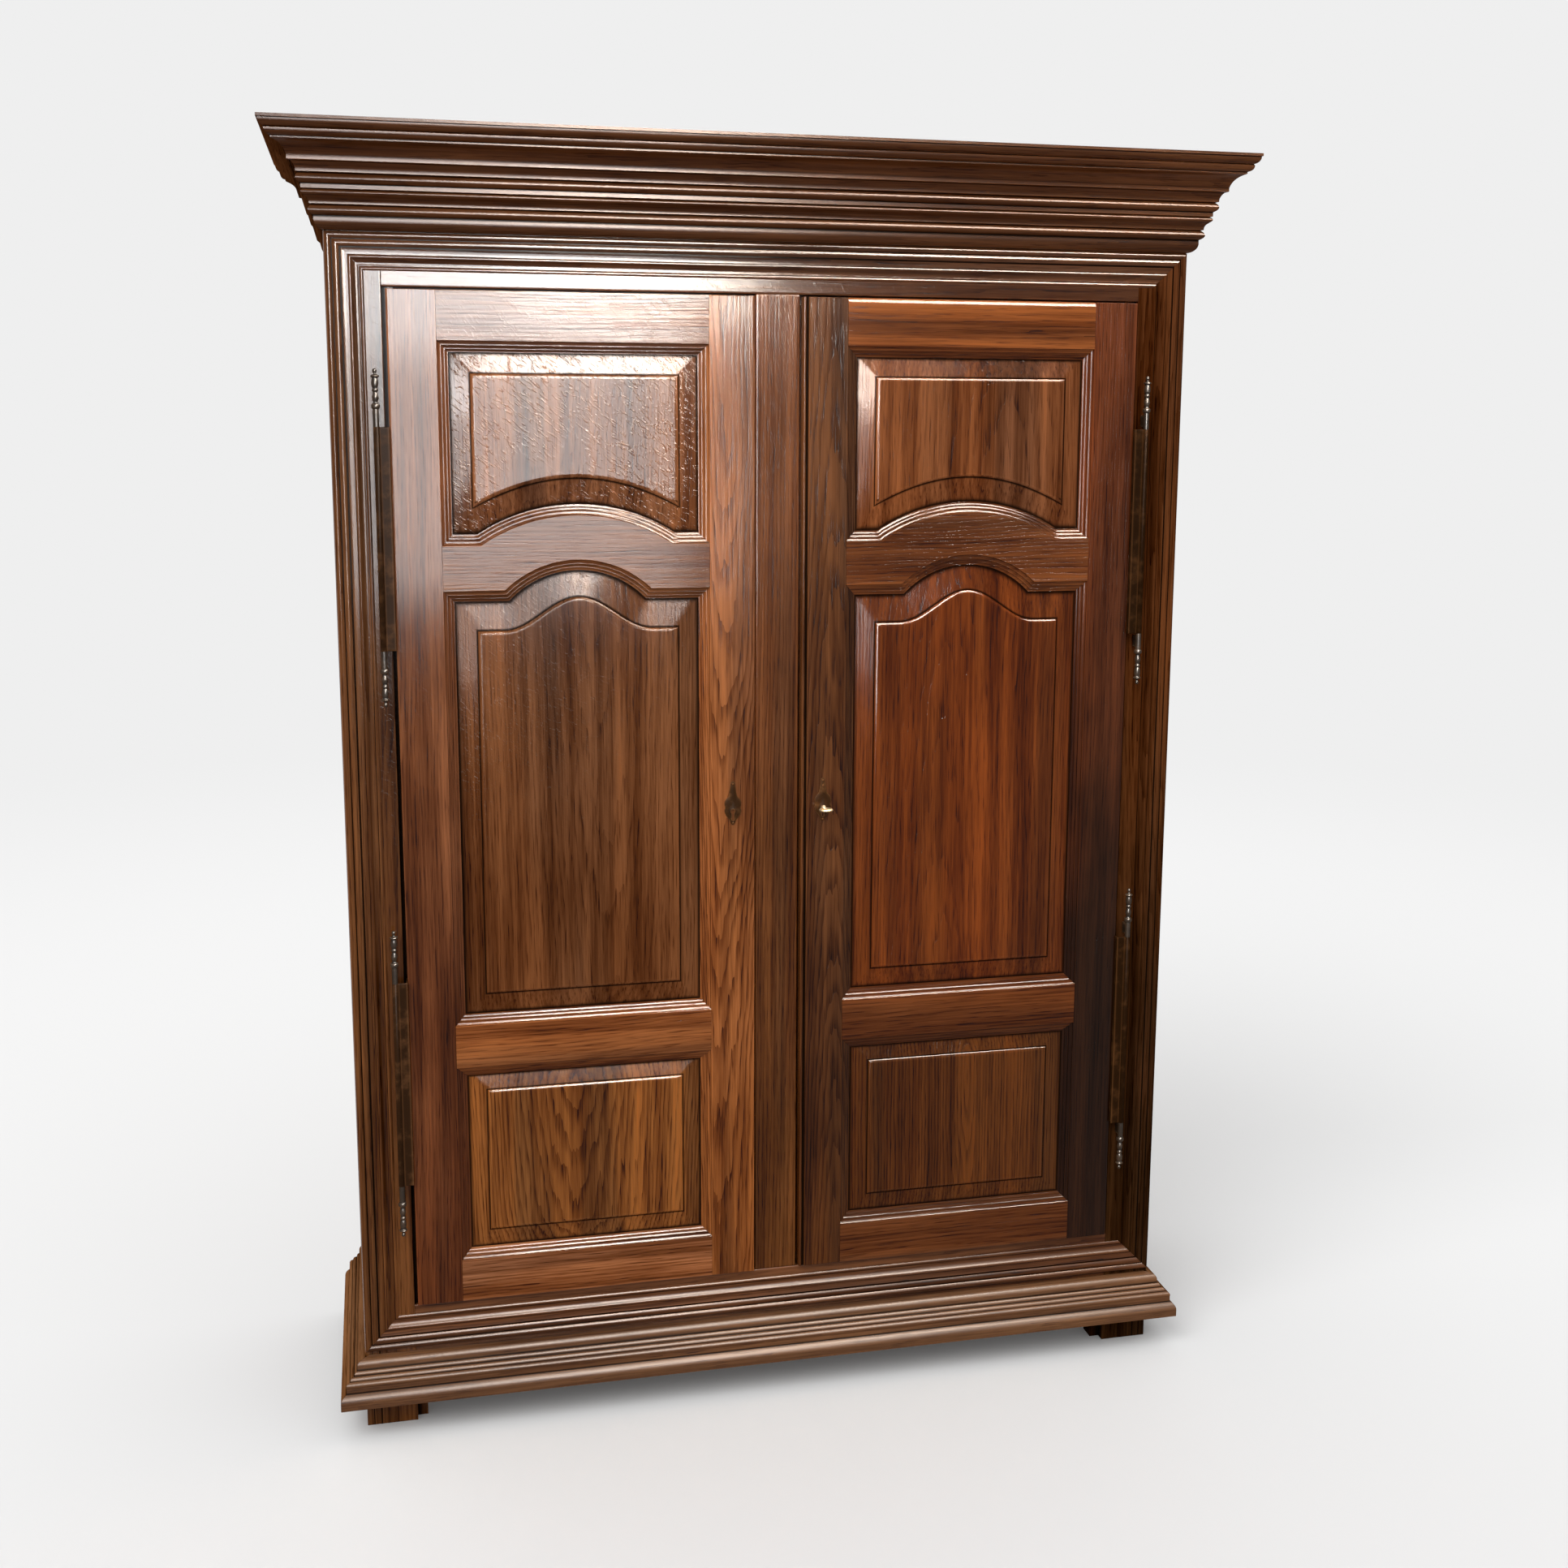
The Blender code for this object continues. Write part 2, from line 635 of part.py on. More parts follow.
def fittings():
    """Hat shelf on two cleats, and a hanging rail whose ends sit in holes bored in the cleats."""
    notched_board("hat_shelf", SHELF_BOTTOM, SHELF_THICKNESS)
    rail_y = (POST_REAR + BACK_PANEL_FRONT) / 2
    rail_z = CLEAT_TOP - HANGING_RAIL_DROP
    outer = PANEL_X - 2 * GLUE_GAP
    inner = outer - CLEAT_THICKNESS
    rail_half = inner + HANGING_RAIL_SEAT
    rail = rod("hanging_rail", "oak_frame", HANGING_RAIL_RADIUS, 2 * rail_half, (0.0, rail_y, rail_z), 24)
    rail.data.shade_smooth()
    rail.data.set_sharp_from_angle(angle=math.radians(40))
    bore_half = rail_half + SLIDE_GAP
    bore = rod("rail_bore", None, HANGING_RAIL_RADIUS + GLUE_GAP, 2 * bore_half, (0.0, rail_y, rail_z), 24)
    for side, word in side_words():
        cleat = box(
            f"shelf_cleat_{word}",
            "oak_inside",
            (side * inner, side * outer),
            (POST_REAR + GLUE_GAP, BACK - BACK_POST - GLUE_GAP),
            (CLEAT_TOP - CLEAT_HEIGHT, CLEAT_TOP),
        )
        cut(cleat, bore)


def rod(name, kind, radius, length, location, segments, along="X"):
    """A round bar centred on its location, along X or along Y."""
    bm = bmesh.new()
    bmesh.ops.create_cone(
        bm, cap_ends=True, segments=segments, radius1=radius, radius2=radius, depth=length
    )
    obj = place(name, closed_mesh(name, bm), kind, location)
    obj.rotation_euler = (0.0, math.pi / 2, 0.0) if along == "X" else (math.pi / 2, 0.0, 0.0)
    return obj


class Opening:
    """One panel opening in a door frame, as (across from the hinge edge, height) of the frame's flat."""

    def __init__(self, name, bottom, top, bottom_arch=None, top_arch=None):
        self.name = name
        self.left, self.right = STILE_WIDTH, DOOR_WIDTH - STILE_WIDTH
        self.bottom, self.top = bottom, top
        self.bottom_arch, self.top_arch = bottom_arch, top_arch
        self.middle = DOOR_WIDTH / 2

    def arch(self, shoulder, half, rise, inset, inward):
        """Points of an arch between its shoulders, moved in by inset. inward is 1 below and -1 above."""
        radius = (half**2 + rise**2) / (2 * rise)
        centre = shoulder + rise - radius
        level = shoulder + inward * inset
        moved = radius + inward * inset
        reach = math.asin(math.sqrt(moved**2 - (level - centre) ** 2) / moved)
        angles = [reach * (2 * i / ARCH_STEPS - 1) for i in range(ARCH_STEPS + 1)]
        return [(self.middle + moved * math.sin(a), centre + moved * math.cos(a)) for a in angles]

    def bottom_edge(self, inset):
        level = self.bottom + inset
        inner = self.arch(self.bottom, *self.bottom_arch, inset, 1) if self.bottom_arch else []
        return [(self.left + inset, level), *inner, (self.right - inset, level)]

    def top_edge(self, inset):
        level = self.top - inset
        inner = self.arch(self.top, *self.top_arch, inset, -1) if self.top_arch else []
        return [(self.left + inset, level), *inner, (self.right - inset, level)]

    def outline(self, inset):
        return self.bottom_edge(inset) + self.top_edge(inset)[::-1]

    def field(self):
        """Outline of the panel's raised field, with as many points as the opening's outline."""
        if self.bottom_arch:
            return self.upper_field()
        if self.top_arch:
            return self.middle_field()
        inset = FIELD_INSET
        low, high = self.bottom + inset, self.top - LOWER_FIELD_TOP_INSET
        left, right = self.left + inset, self.right - inset
        return [(left, low), (right, low), (right, high), (left, high)]

    def upper_field(self):
        """The lower edge is one arch right across the field."""
        inset = FIELD_INSET
        left, right, high = self.left + inset, self.right - inset, self.top - inset
        rise = self.bottom_arch[1]
        low = self.bottom + FIELD_ARCH_INSET
        count = ARCH_STEPS + 2
        lower = []
        for i in range(count + 1):
            share = i / count
            lower.append((left + share * (right - left), low + 4 * rise * share * (1 - share)))
        return lower + [(right, high), (left, high)]

    def middle_field(self):
        """The upper edge is level at both ends and swells to a crown through two reversed curves."""
        inset = MIDDLE_FIELD_INSET
        left, right, low = self.left + inset, self.right - inset, self.bottom + inset
        shoulder = self.top - MIDDLE_SHOULDER_INSET
        crown = self.top + self.top_arch[1] - MIDDLE_CROWN_INSET
        upper = [(left, shoulder)]
        for i in range(ARCH_STEPS + 1):
            share = 2 * i / ARCH_STEPS - 1
            swell = (1 + math.cos(math.pi * share)) / 2
            upper.append((self.middle + share * MIDDLE_CROWN_HALF, shoulder + swell * (crown - shoulder)))
        upper.append((right, shoulder))
        return [(left, low), (right, low)] + upper[::-1]


def door_openings():
    upper_bottom = DOOR_TOP - TOP_RAIL - UPPER_OPENING
    lower_bottom = DOOR_BOTTOM + BOTTOM_RAIL
    lower_top = lower_bottom + LOWER_OPENING
    middle = (lower_top + LOWER_RAIL, upper_bottom - ARCHED_RAIL)
    return (
        Opening("upper", upper_bottom, DOOR_TOP - TOP_RAIL, bottom_arch=(UPPER_ARCH_HALF, UPPER_ARCH_RISE)),
        Opening("middle", *middle, top_arch=(MIDDLE_ARCH_HALF, MIDDLE_ARCH_RISE)),
        Opening("lower", lower_bottom, lower_top),
    )


class Door:
    """One door. It is drawn from its hinge edge, and mirrored for the right side."""

    def __init__(self, side, word):
        self.side, self.word = side, word
        self.axis = bpy.data.objects.new(f"{word}_door_axis", None)
        self.axis.location = (side * AXIS_X, AXIS_Y, DOOR_BOTTOM)
        PARTS.objects.link(self.axis)
        bpy.context.view_layer.update()

    def x(self, across):
        return self.side * (HINGE_EDGE - across)

    def hang(self, *pieces):
        """Parents pieces that are in place to the door's axis."""
        for piece in pieces:
            piece.parent = self.axis
            piece.location = piece.location - self.axis.location

    def board(self, name, outline):
        """A flat board of the door's full thickness."""
        points = [(self.x(across), height) for across, height in outline]
        middle = (DOOR_FACE + DOOR_BACK) / 2
        place_at = (0.0, middle, 0.0)
        return outline_solid(f"{self.word}_{name}", "oak_frame", [points], DOOR_THICKNESS, place_at)

    def stacked(self, name, kind, layers):
        """A solid through outlines at given depths behind the door face."""
        loops = []
        for outline, depth in layers:
            loops.append([(self.x(across), DOOR_FACE + depth, height) for across, height in outline])
        return loft(f"{self.word}_{name}", kind, loops)

    def opening_cutter(self, opening):
        """What the plane takes out of the frame: the sticking, the panel's groove and the opening."""
        lip_end = STICKING[-1][1] + LIP
        groove_end = lip_end + TONGUE + 2 * GLUE_GAP
        groove = STICKING_WIDTH - GROOVE_DEPTH
        steps = [(STICKING[0][0], -0.002), *STICKING]
        steps += [(STICKING_WIDTH, lip_end), (groove, lip_end), (groove, groove_end)]
        steps += [(STICKING_WIDTH, groove_end), (STICKING_WIDTH, DOOR_THICKNESS + 0.002)]
        layers = [(opening.outline(inset), depth) for inset, depth in steps]
        return self.stacked(f"{opening.name}_cutter", None, layers)

    def panel(self, opening):
        """A raised and fielded panel, whose tongue sits in the frame's groove."""
        tongue = opening.outline(STICKING_WIDTH - GROOVE_DEPTH + PANEL_PLAY)
        front = STICKING[-1][1] + LIP + GLUE_GAP
        field = opening.field()
        layers = [
            (tongue, front + TONGUE),
            (tongue, front),
            (opening.outline(STICKING_WIDTH), front),
            (field, FIELD_BELOW_FACE + FIELD_STEP),
            (field, FIELD_BELOW_FACE),
        ]
        return self.stacked(f"{opening.name}_panel", "oak_panel", layers)

    def stile_outline(self, openings):
        """A stile, with a mitred ear of sticking along each opening."""
        ear = STICKING_WIDTH + 0.004
        points = [(0.0, DOOR_TOP), (0.0, DOOR_BOTTOM), (STILE_WIDTH, DOOR_BOTTOM)]
        for opening in reversed(openings):
            points.append((STILE_WIDTH, opening.bottom))
            points.append((STILE_WIDTH + ear, opening.bottom + ear))
            points.append((STILE_WIDTH + ear, opening.top - ear))
            points.append((STILE_WIDTH, opening.top))
        points.append((STILE_WIDTH, DOOR_TOP))
        return points

    def rail_outline(self, above, below):
        """A rail between two openings, with mitred ears of sticking. None stands for the door's end."""
        ear = STICKING_WIDTH + 0.004
        left, right = STILE_WIDTH + GLUE_GAP, DOOR_WIDTH - STILE_WIDTH - GLUE_GAP
        upper = self.trimmed(above.bottom_edge(ear)) if above else []
        lower = self.trimmed(below.top_edge(ear)) if below else []
        high = above.bottom if above else DOOR_TOP
        low = below.top if below else DOOR_BOTTOM
        return [(left, high), *upper, (right, high), (right, low), *lower[::-1], (left, low)]

    def trimmed(self, edge):
        """An edge drawn in by the glue gap at its two ends, where it meets the stiles' mitres."""
        first, *inner, last = edge
        return [(first[0] + GLUE_GAP, first[1]), *inner, (last[0] - GLUE_GAP, last[1])]

    def frame(self):
        upper, middle, lower = openings = door_openings()
        cutters = {opening: self.opening_cutter(opening) for opening in openings}
        stile = self.stile_outline(openings)
        hinge_stile = self.board("hinge_stile", stile)
        lock_stile = self.board("lock_stile", [(DOOR_WIDTH - across, height) for across, height in stile])
        cut(hinge_stile, *cutters.values())
        cut(lock_stile, *cutters.values())
        if self.side > 0:
            cut(lock_stile, self.lock_bead())
        rails = {
            "top_rail": (None, upper),
            "arched_rail": (upper, middle),
            "lower_rail": (middle, lower),
            "bottom_rail": (lower, None),
        }
        for name, pair in rails.items():
            rail = self.board(name, self.rail_outline(*pair))
            cut(rail, *(cutters[opening] for opening in pair if opening))
            self.hang(rail)
        for opening in openings:
            self.hang(self.panel(opening))
        self.keyhole(lock_stile)
        self.hang(hinge_stile, lock_stile)

    def lock_bead(self):
        """The groove beside the bead that runs down the right door's lock edge."""
        return box(
            f"{self.word}_bead_cutter",
            None,
            (self.x(DOOR_WIDTH - LOCK_BEAD), self.x(DOOR_WIDTH - 2 * LOCK_BEAD)),
            (DOOR_FACE - LOCK_BEAD_DEPTH, DOOR_FACE + LOCK_BEAD_DEPTH),
            (DOOR_BOTTOM - 0.01, DOOR_TOP + 0.01),
        )

    def keyhole(self, lock_stile):
        """The keyhole through the stile, and the escutcheon plate in front of it."""
        x = self.side * KEY_X
        span = DOOR_THICKNESS + 0.02
        middle = (DOOR_FACE + DOOR_BACK) / 2
        hole = rod(f"{self.word}_keyhole", None, KEYHOLE_RADIUS, span, (x, middle, KEY_Z), 16, along="Y")
        slot = box(
            f"{self.word}_key_slot",
            None,
            (x - KEYHOLE_SLOT / 2, x + KEYHOLE_SLOT / 2),
            (middle - span / 2, middle + span / 2),
            (KEY_Z - KEYHOLE_LENGTH, KEY_Z),
        )
        cut(lock_stile, hole, slot)
        top, bottom = ESCUTCHEON_ABOVE, ESCUTCHEON_ABOVE - ESCUTCHEON_HEIGHT
        half = ESCUTCHEON_WIDTH / 2
        right = [
            (0.0, top),
            (0.25 * half, top - 0.004),
            (0.30 * half, top - 0.012),
            (0.55 * half, 0.5 * top),
            (half, 0.3 * top),
            (half, 0.0),
            (0.62 * half, 0.5 * bottom),
            (0.20 * half, bottom + 0.003),
            (0.0, bottom),
        ]
        plate_outline = right + [(-across, up) for across, up in right[-2:0:-1]]
        front = DOOR_FACE - GLUE_GAP - ESCUTCHEON_SHEET / 2
        plate = outline_solid(
            f"{self.word}_escutcheon", "iron", [plate_outline], ESCUTCHEON_SHEET, (x, front, KEY_Z)
        )
        cut(plate, hole, slot)
        self.hang(plate)

    def lock(self):
        """Rim lock on the inside of the lock stile: a case open towards the door, and its bolt."""
        edge = FLANGE_HALF + CASE_CLEARANCE
        front, back = DOOR_BACK + GLUE_GAP, DOOR_BACK + GLUE_GAP + CASE_DEPTH
        low = KEY_Z - CASE_BELOW_KEY
        case = box(
            f"{self.word}_lock_case",
            "iron",
            (self.side * edge, self.side * (edge + CASE_WIDTH)),
            (front, back),
            (low, low + CASE_HEIGHT),
        )
        hollow = box(
            f"{self.word}_lock_hollow",
            None,
            (self.side * (edge + CASE_WALL), self.side * (edge + CASE_WIDTH - CASE_WALL)),
            (front - 0.002, back - CASE_WALL),
            (low + CASE_WALL, low + CASE_HEIGHT - CASE_WALL),
        )
        bolt_y = (back - CASE_WALL - SLIDE_GAP - BOLT_THICKNESS, back - CASE_WALL - SLIDE_GAP)
        bolt_z = (KEY_Z + BOLT_ABOVE_KEY, KEY_Z + BOLT_ABOVE_KEY + BOLT_HEIGHT)
        window = box(
            f"{self.word}_bolt_window",
            None,
            (self.side * (edge - 0.002), self.side * (edge + CASE_WALL + 0.002)),
            (bolt_y[0] - SLIDE_GAP, bolt_y[1] + SLIDE_GAP),
            (bolt_z[0] - SLIDE_GAP, bolt_z[1] + SLIDE_GAP),
        )
        cut(case, hollow, window)
        bolt = box(
            f"{self.word}_lock_bolt",
            "iron",
            (self.side * (edge + GLUE_GAP), self.side * (edge + GLUE_GAP + BOLT_LENGTH)),
            bolt_y,
            bolt_z,
        )
        self.hang(case, bolt)

    def hinges(self):
        for place_word, drop in zip(("upper", "lower"), HINGE_DROPS):
            self.hinge(place_word, DOOR_TOP - drop)

    def hinge(self, place_word, tip):
        """A long pin with finials, held to the post by two lugs, and the barrel and leaf on the door."""
        name = f"{self.word}_{place_word}_hinge"
        x, half = self.side * AXIS_X, HINGE_LENGTH / 2
        shoulder = half - HINGE_END
        upper = [(radius, half - along) for radius, along in FINIAL]
        upper += [(FINIAL[-1][0], shoulder), (PIN_RADIUS, shoulder)]
        profile = upper + [(radius, -height) for radius, height in reversed(upper)]
        pin = turned(f"{name}_pin", "iron", profile, (x, AXIS_Y, tip - half))
        for sign in (-1, 1):
            centre = tip - half + sign * (half - LUG_CENTRE)
            lug = box(
                f"{name}_lug_{sign + 1}",
                None,
                (x - LUG_WIDTH / 2, x + LUG_WIDTH / 2),
                (AXIS_Y, FLAT - GLUE_GAP),
                (centre - LUG_HEIGHT / 2, centre + LUG_HEIGHT / 2),
            )
            join(pin, lug)
        barrel_half = shoulder - GLUE_GAP
        bore = PIN_RADIUS + PIN_GAP
        ring = [(bore, barrel_half), (BARREL_RADIUS, barrel_half)]
        ring += [(radius, -height) for radius, height in reversed(ring)]
        leaf = turned(f"{name}_leaf", "iron", [*ring, ring[0]], (x, AXIS_Y, tip - half), steps=12)
        wall = (bore + BARREL_RADIUS) / 2
        door_side = HINGE_EDGE + GLUE_GAP
        heights = (tip - half - barrel_half + GLUE_GAP, tip - half + barrel_half - GLUE_GAP)
        strap_y = (AXIS_Y - LEAF_THICKNESS / 2, AXIS_Y + LEAF_THICKNESS / 2)
        strap_x = (self.side * (AXIS_X - wall), self.side * (door_side + FLANGE_SHEET / 2))
        strap = box(f"{name}_strap", None, strap_x, strap_y, heights)
        flange = box(
            f"{name}_flange",
            None,
            (self.side * door_side, self.side * (door_side + FLANGE_SHEET)),
            (strap_y[0], DOOR_FACE + FLANGE_REACH),
            heights,
        )
        join(leaf, strap, flange)
        self.hang(leaf)


def key(door):
    """The key in the right door, at rest with its bow level, turning about its shank."""
    x = door.side * KEY_X
    end = DOOR_BACK + GLUE_GAP + CASE_DEPTH - CASE_WALL - SLIDE_GAP
    start = DOOR_FACE - KEY_OUT
    shank = rod("key", "nickel", KEY_RADIUS, end - start, (0.0, 0.0, 0.0), 16, along="Y")
    shank.location = (x, (start + end) / 2, KEY_Z)
    half, length = BOW_WIDTH / 2, BOW_LENGTH
    rim = bow_loop(half, length, 0.0)
    hollow = bow_loop(half, length, BOW_WALL)
    bow = outline_solid(
        "key_bow", None, [rim, hollow], BOW_THICKNESS, (x, start + 0.002, KEY_Z), upright=False
    )
    collar = turned(
        "key_collar",
        None,
        [(0.0, 0.004), (0.0046, 0.002), (0.0046, -0.002), (0.0, -0.004)],
        (x, start + KEY_OUT / 2, KEY_Z),
        steps=16,
        along_y=True,
    )
    bit = box(
        "key_bit",
        None,
        (x, x + BIT_REACH),
        (end - BIT_LENGTH - 0.001, end - 0.001),
        (KEY_Z - BIT_THICKNESS / 2, KEY_Z + BIT_THICKNESS / 2),
    )
    join(shank, bow, collar, bit)
    door.hang(shank)


def bow_loop(half, length, wall):
    """The key's bow in plan, widest near its far end, drawn in by wall."""
    points = []
    count = 20
    for i in range(count):
        angle = 2 * math.pi * i / count
        flare = 1.0 - 0.28 * math.sin(angle)
        across = (half * flare / 1.1 - wall) * math.cos(angle)
        along = -length / 2 + (length / 2 - wall) * math.sin(angle)
        points.append((across, along))
    return points


clear_scene()
PARTS = new_collection("wardrobe")
HELPERS = new_collection("cutters")

side_slots = side_frames()
back_slot_cutter = back_and_boards()
front_posts(side_slots)
back_posts(side_slots, back_slot_cutter)
front_rails()
centre_post()
mitred_mouldings("cornice", CORNICE_PROFILE, CORNICE_BOTTOM)
mitred_mouldings("base", BASE_PROFILE, FOOT_HEIGHT)
fittings()
for door_side, door_word in side_words():
    leaf_door = Door(door_side, door_word)
    leaf_door.frame()
    leaf_door.lock()
    leaf_door.hinges()
    if door_side > 0:
        key(leaf_door)
bpy.context.view_layer.update()
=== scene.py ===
import math

import bmesh
import bpy
import numpy as np
from mathutils import Matrix, Vector


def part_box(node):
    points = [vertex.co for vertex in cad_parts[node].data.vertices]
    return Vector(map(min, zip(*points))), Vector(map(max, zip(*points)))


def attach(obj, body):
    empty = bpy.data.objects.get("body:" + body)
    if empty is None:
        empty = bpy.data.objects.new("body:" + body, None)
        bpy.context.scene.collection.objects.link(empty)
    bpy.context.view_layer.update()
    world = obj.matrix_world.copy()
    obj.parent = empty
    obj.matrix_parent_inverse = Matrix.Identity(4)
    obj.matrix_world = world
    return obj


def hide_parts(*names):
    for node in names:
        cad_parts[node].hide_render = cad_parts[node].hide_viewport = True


# Two-door oak wardrobe. Metres, doors facing -Y, Z up, floor at 0.
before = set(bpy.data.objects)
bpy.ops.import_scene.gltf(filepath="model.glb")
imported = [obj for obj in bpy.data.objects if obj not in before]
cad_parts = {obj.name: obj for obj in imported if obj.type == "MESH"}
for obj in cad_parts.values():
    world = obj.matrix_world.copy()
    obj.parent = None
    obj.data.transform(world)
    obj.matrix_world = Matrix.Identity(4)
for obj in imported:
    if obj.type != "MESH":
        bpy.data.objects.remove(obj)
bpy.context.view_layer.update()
print("frame loaded:", len(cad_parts), "nodes")

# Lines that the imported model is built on
body = {
    "half": 0.740,
    "back": 0.268,
    "fascia": -0.178,
    "flat": -0.171,
    "postRear": -0.123,
    "stop": -0.154,
    "stopEdge": 0.634,
    "stopBottom": 0.236,
    "stopTop": 1.956,
    "openingEdge": 0.652,
    "openingBottom": 0.220,
    "openingTop": 1.972,
    "mouldingEdge": 0.685,
    "mouldingBottom": 0.197,
    "mouldingTop": 2.002,
    "postTop": 2.1943,
    "railBottom": 0.066,
    "gap": 0.0003,
}
door = {
    "hingeEdge": 0.646,
    "width": 0.604,
    "bottom": 0.224,
    "top": 1.968,
    "face": -0.183,
    "thickness": 0.028,
    "stile": 0.078,
    "arris": 0.0012,
}
sides = ((-1, "left"), (1, "right"))


# Meshes


def places(x, y, z):
    # Three coordinates of matching shapes as one array of points
    return np.stack(np.broadcast_arrays(x, y, z), axis=-1)


def gridFaces(rows, columns, closed=True):
    # A four-cornered face between each point and its neighbours. If closed, the last row meets the first.
    row = np.arange(rows if closed else rows - 1)[:, None]
    column = np.arange(columns - 1)[None, :]
    after = (row + 1) % rows
    near, far = row * columns + column, after * columns + column
    return np.stack((near, near + 1, far + 1, far), axis=-1).reshape(-1, 4)


def shell(points, wear=0.0, ends=True):
    # A skin. points[i, k] is point i of the closed section at station k, and a flat face closes each end.
    # The wear and painted light value is one number, one for each point of the section, or a row of one
    # for each station.
    rows, columns = points.shape[:2]
    faces = gridFaces(rows, columns).tolist()
    if ends:
        faces += [(np.arange(rows) * columns + station).tolist() for station in (0, columns - 1)]
    wear = np.asarray(wear, float)
    wear = np.broadcast_to(wear[:, None] if wear.ndim == 1 else wear, (rows, columns))
    return points.reshape(-1, 3), faces, wear.reshape(-1)


def added(name, data):
    made = bpy.data.objects.new(name, data)
    bpy.context.scene.collection.objects.link(made)
    return made


def put(node, made, parts, material, rides="carcass", crease=32.0):
    # Joins skins into one piece that replaces a node of the imported model. It merges doubled points, turns
    # faces outwards and keeps the wear and painted light value on the points.
    points, faces, wear = [], [], []
    for partPoints, partFaces, partWearAndPaintedLight in parts:
        start = sum(len(group) for group in points)
        points.append(partPoints)
        wear.append(partWearAndPaintedLight)
        faces += [[corner + start for corner in face] for face in partFaces]
    points = np.concatenate(points)
    name = f"{node}_{made}"
    mesh = bpy.data.meshes.new(name)
    mesh.from_pydata(points.tolist(), [], faces)
    layer = mesh.attributes.new("wear", "FLOAT", "POINT")
    layer.data.foreach_set("value", np.concatenate(wear).astype(np.float32))
    work = bmesh.new()
    work.from_mesh(mesh)
    merge = 2e-6
    bmesh.ops.remove_doubles(work, verts=work.verts, dist=merge)
    bmesh.ops.dissolve_degenerate(work, edges=work.edges, dist=merge)
    bmesh.ops.recalc_face_normals(work, faces=work.faces)
    work.to_mesh(mesh)
    work.free()
    mesh.shade_smooth()
    mesh.set_sharp_from_angle(angle=math.radians(crease))
    mesh.materials.append(material)
    piece = added(name, mesh)
    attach(piece, rides)
    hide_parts(node)


def drawn(profile, sign=1, steps=10, margin=0.0012):
    # Points of a moulding's section from rows of (across, up, bulge). A bulging stretch is a shallow arc:
    # the straight line plus 4 * bulge * share * (1 - share) square to it. Each corner's wear and painted
    # light value is its turn, from 1 on an arris to -1 in a quirk, and a point set in by the margin keeps
    # that value near the corner.
    points = [np.array(profile[0][:2])]
    for (a0, b0, _), (a1, b1, bulge) in zip(profile, profile[1:]):
        across, up = a1 - a0, b1 - b0
        length = math.hypot(across, up)
        share = np.linspace(0, 1, steps + 1)[1:] if bulge else np.array([1.0])
        if not bulge and length > 3 * margin:
            share = np.array([margin / length, 1 - margin / length, 1.0])
        lift = 4 * bulge * share * (1 - share) / length
        points.extend(np.stack([a0 + share * across + lift * up, b0 + share * up - lift * across], axis=1))
    points = np.array(points)
    ahead = np.diff(points, axis=0)
    turn = np.zeros(len(points))
    cross = ahead[:-1, 0] * ahead[1:, 1] - ahead[:-1, 1] * ahead[1:, 0]
    dot = (ahead[:-1] * ahead[1:]).sum(axis=1)
    turn[1:-1] = sign * np.arctan2(cross, dot)
    fullWearAndPaintedLight = math.radians(40)
    return points, np.clip(turn / fullWearAndPaintedLight, -1, 1)


def drawnIn(loop, distance):
    # A closed outline moved inwards: each point goes square to the line between its neighbours.
    ahead = np.roll(loop, -1, axis=0) - loop
    behind = loop - np.roll(loop, 1, axis=0)
    ahead = ahead / np.linalg.norm(ahead, axis=1, keepdims=True)
    behind = behind / np.linalg.norm(behind, axis=1, keepdims=True)
    middle = ahead + behind
    middle = middle / np.linalg.norm(middle, axis=1, keepdims=True)
    inward = np.stack([-middle[:, 1], middle[:, 0]], axis=1)
    area = (loop[:, 0] * np.roll(loop[:, 1], -1) - loop[:, 1] * np.roll(loop[:, 0], -1)).sum()
    reach = distance / np.clip((middle * ahead).sum(axis=1, keepdims=True), 0.4, 1)
    return loop + math.copysign(1, area) * inward * reach


def roundedSection(low, high, radius, steps=4):
    # A rectangle with quarter-circle arrises, as (across, depth) points.
    (a0, b0), (a1, b1) = low, high
    turn = np.linspace(0, math.pi / 2, steps + 1)
    corner = np.stack([np.cos(turn), np.sin(turn)], axis=1) * radius
    quarter = ((a1, b1, 1, 1), (a0, b1, -1, 1), (a0, b0, -1, -1), (a1, b0, 1, -1))
    points, wear = [], []
    for index, (a, b, sa, sb) in enumerate(quarter):
        arc = corner if index % 2 == 0 else corner[::-1]
        centre = np.array([a - sa * radius, b - sb * radius])
        points.append(centre + arc * (sa, sb))
        wear.append(np.full(steps + 1, 1.0))
        nextA, nextB = quarter[(index + 1) % 4][:2]
        start, end = points[-1][-1], np.array([nextA, nextB])
        along = (end - start) / np.linalg.norm(end - start)
        room = np.linalg.norm(end - start) - radius
        inset = min(0.003, room / 3)
        points.append(np.array([start + along * inset, end - along * (radius + inset)]))
        wear.append(np.zeros(2))
    return np.concatenate(points), np.concatenate(wear)


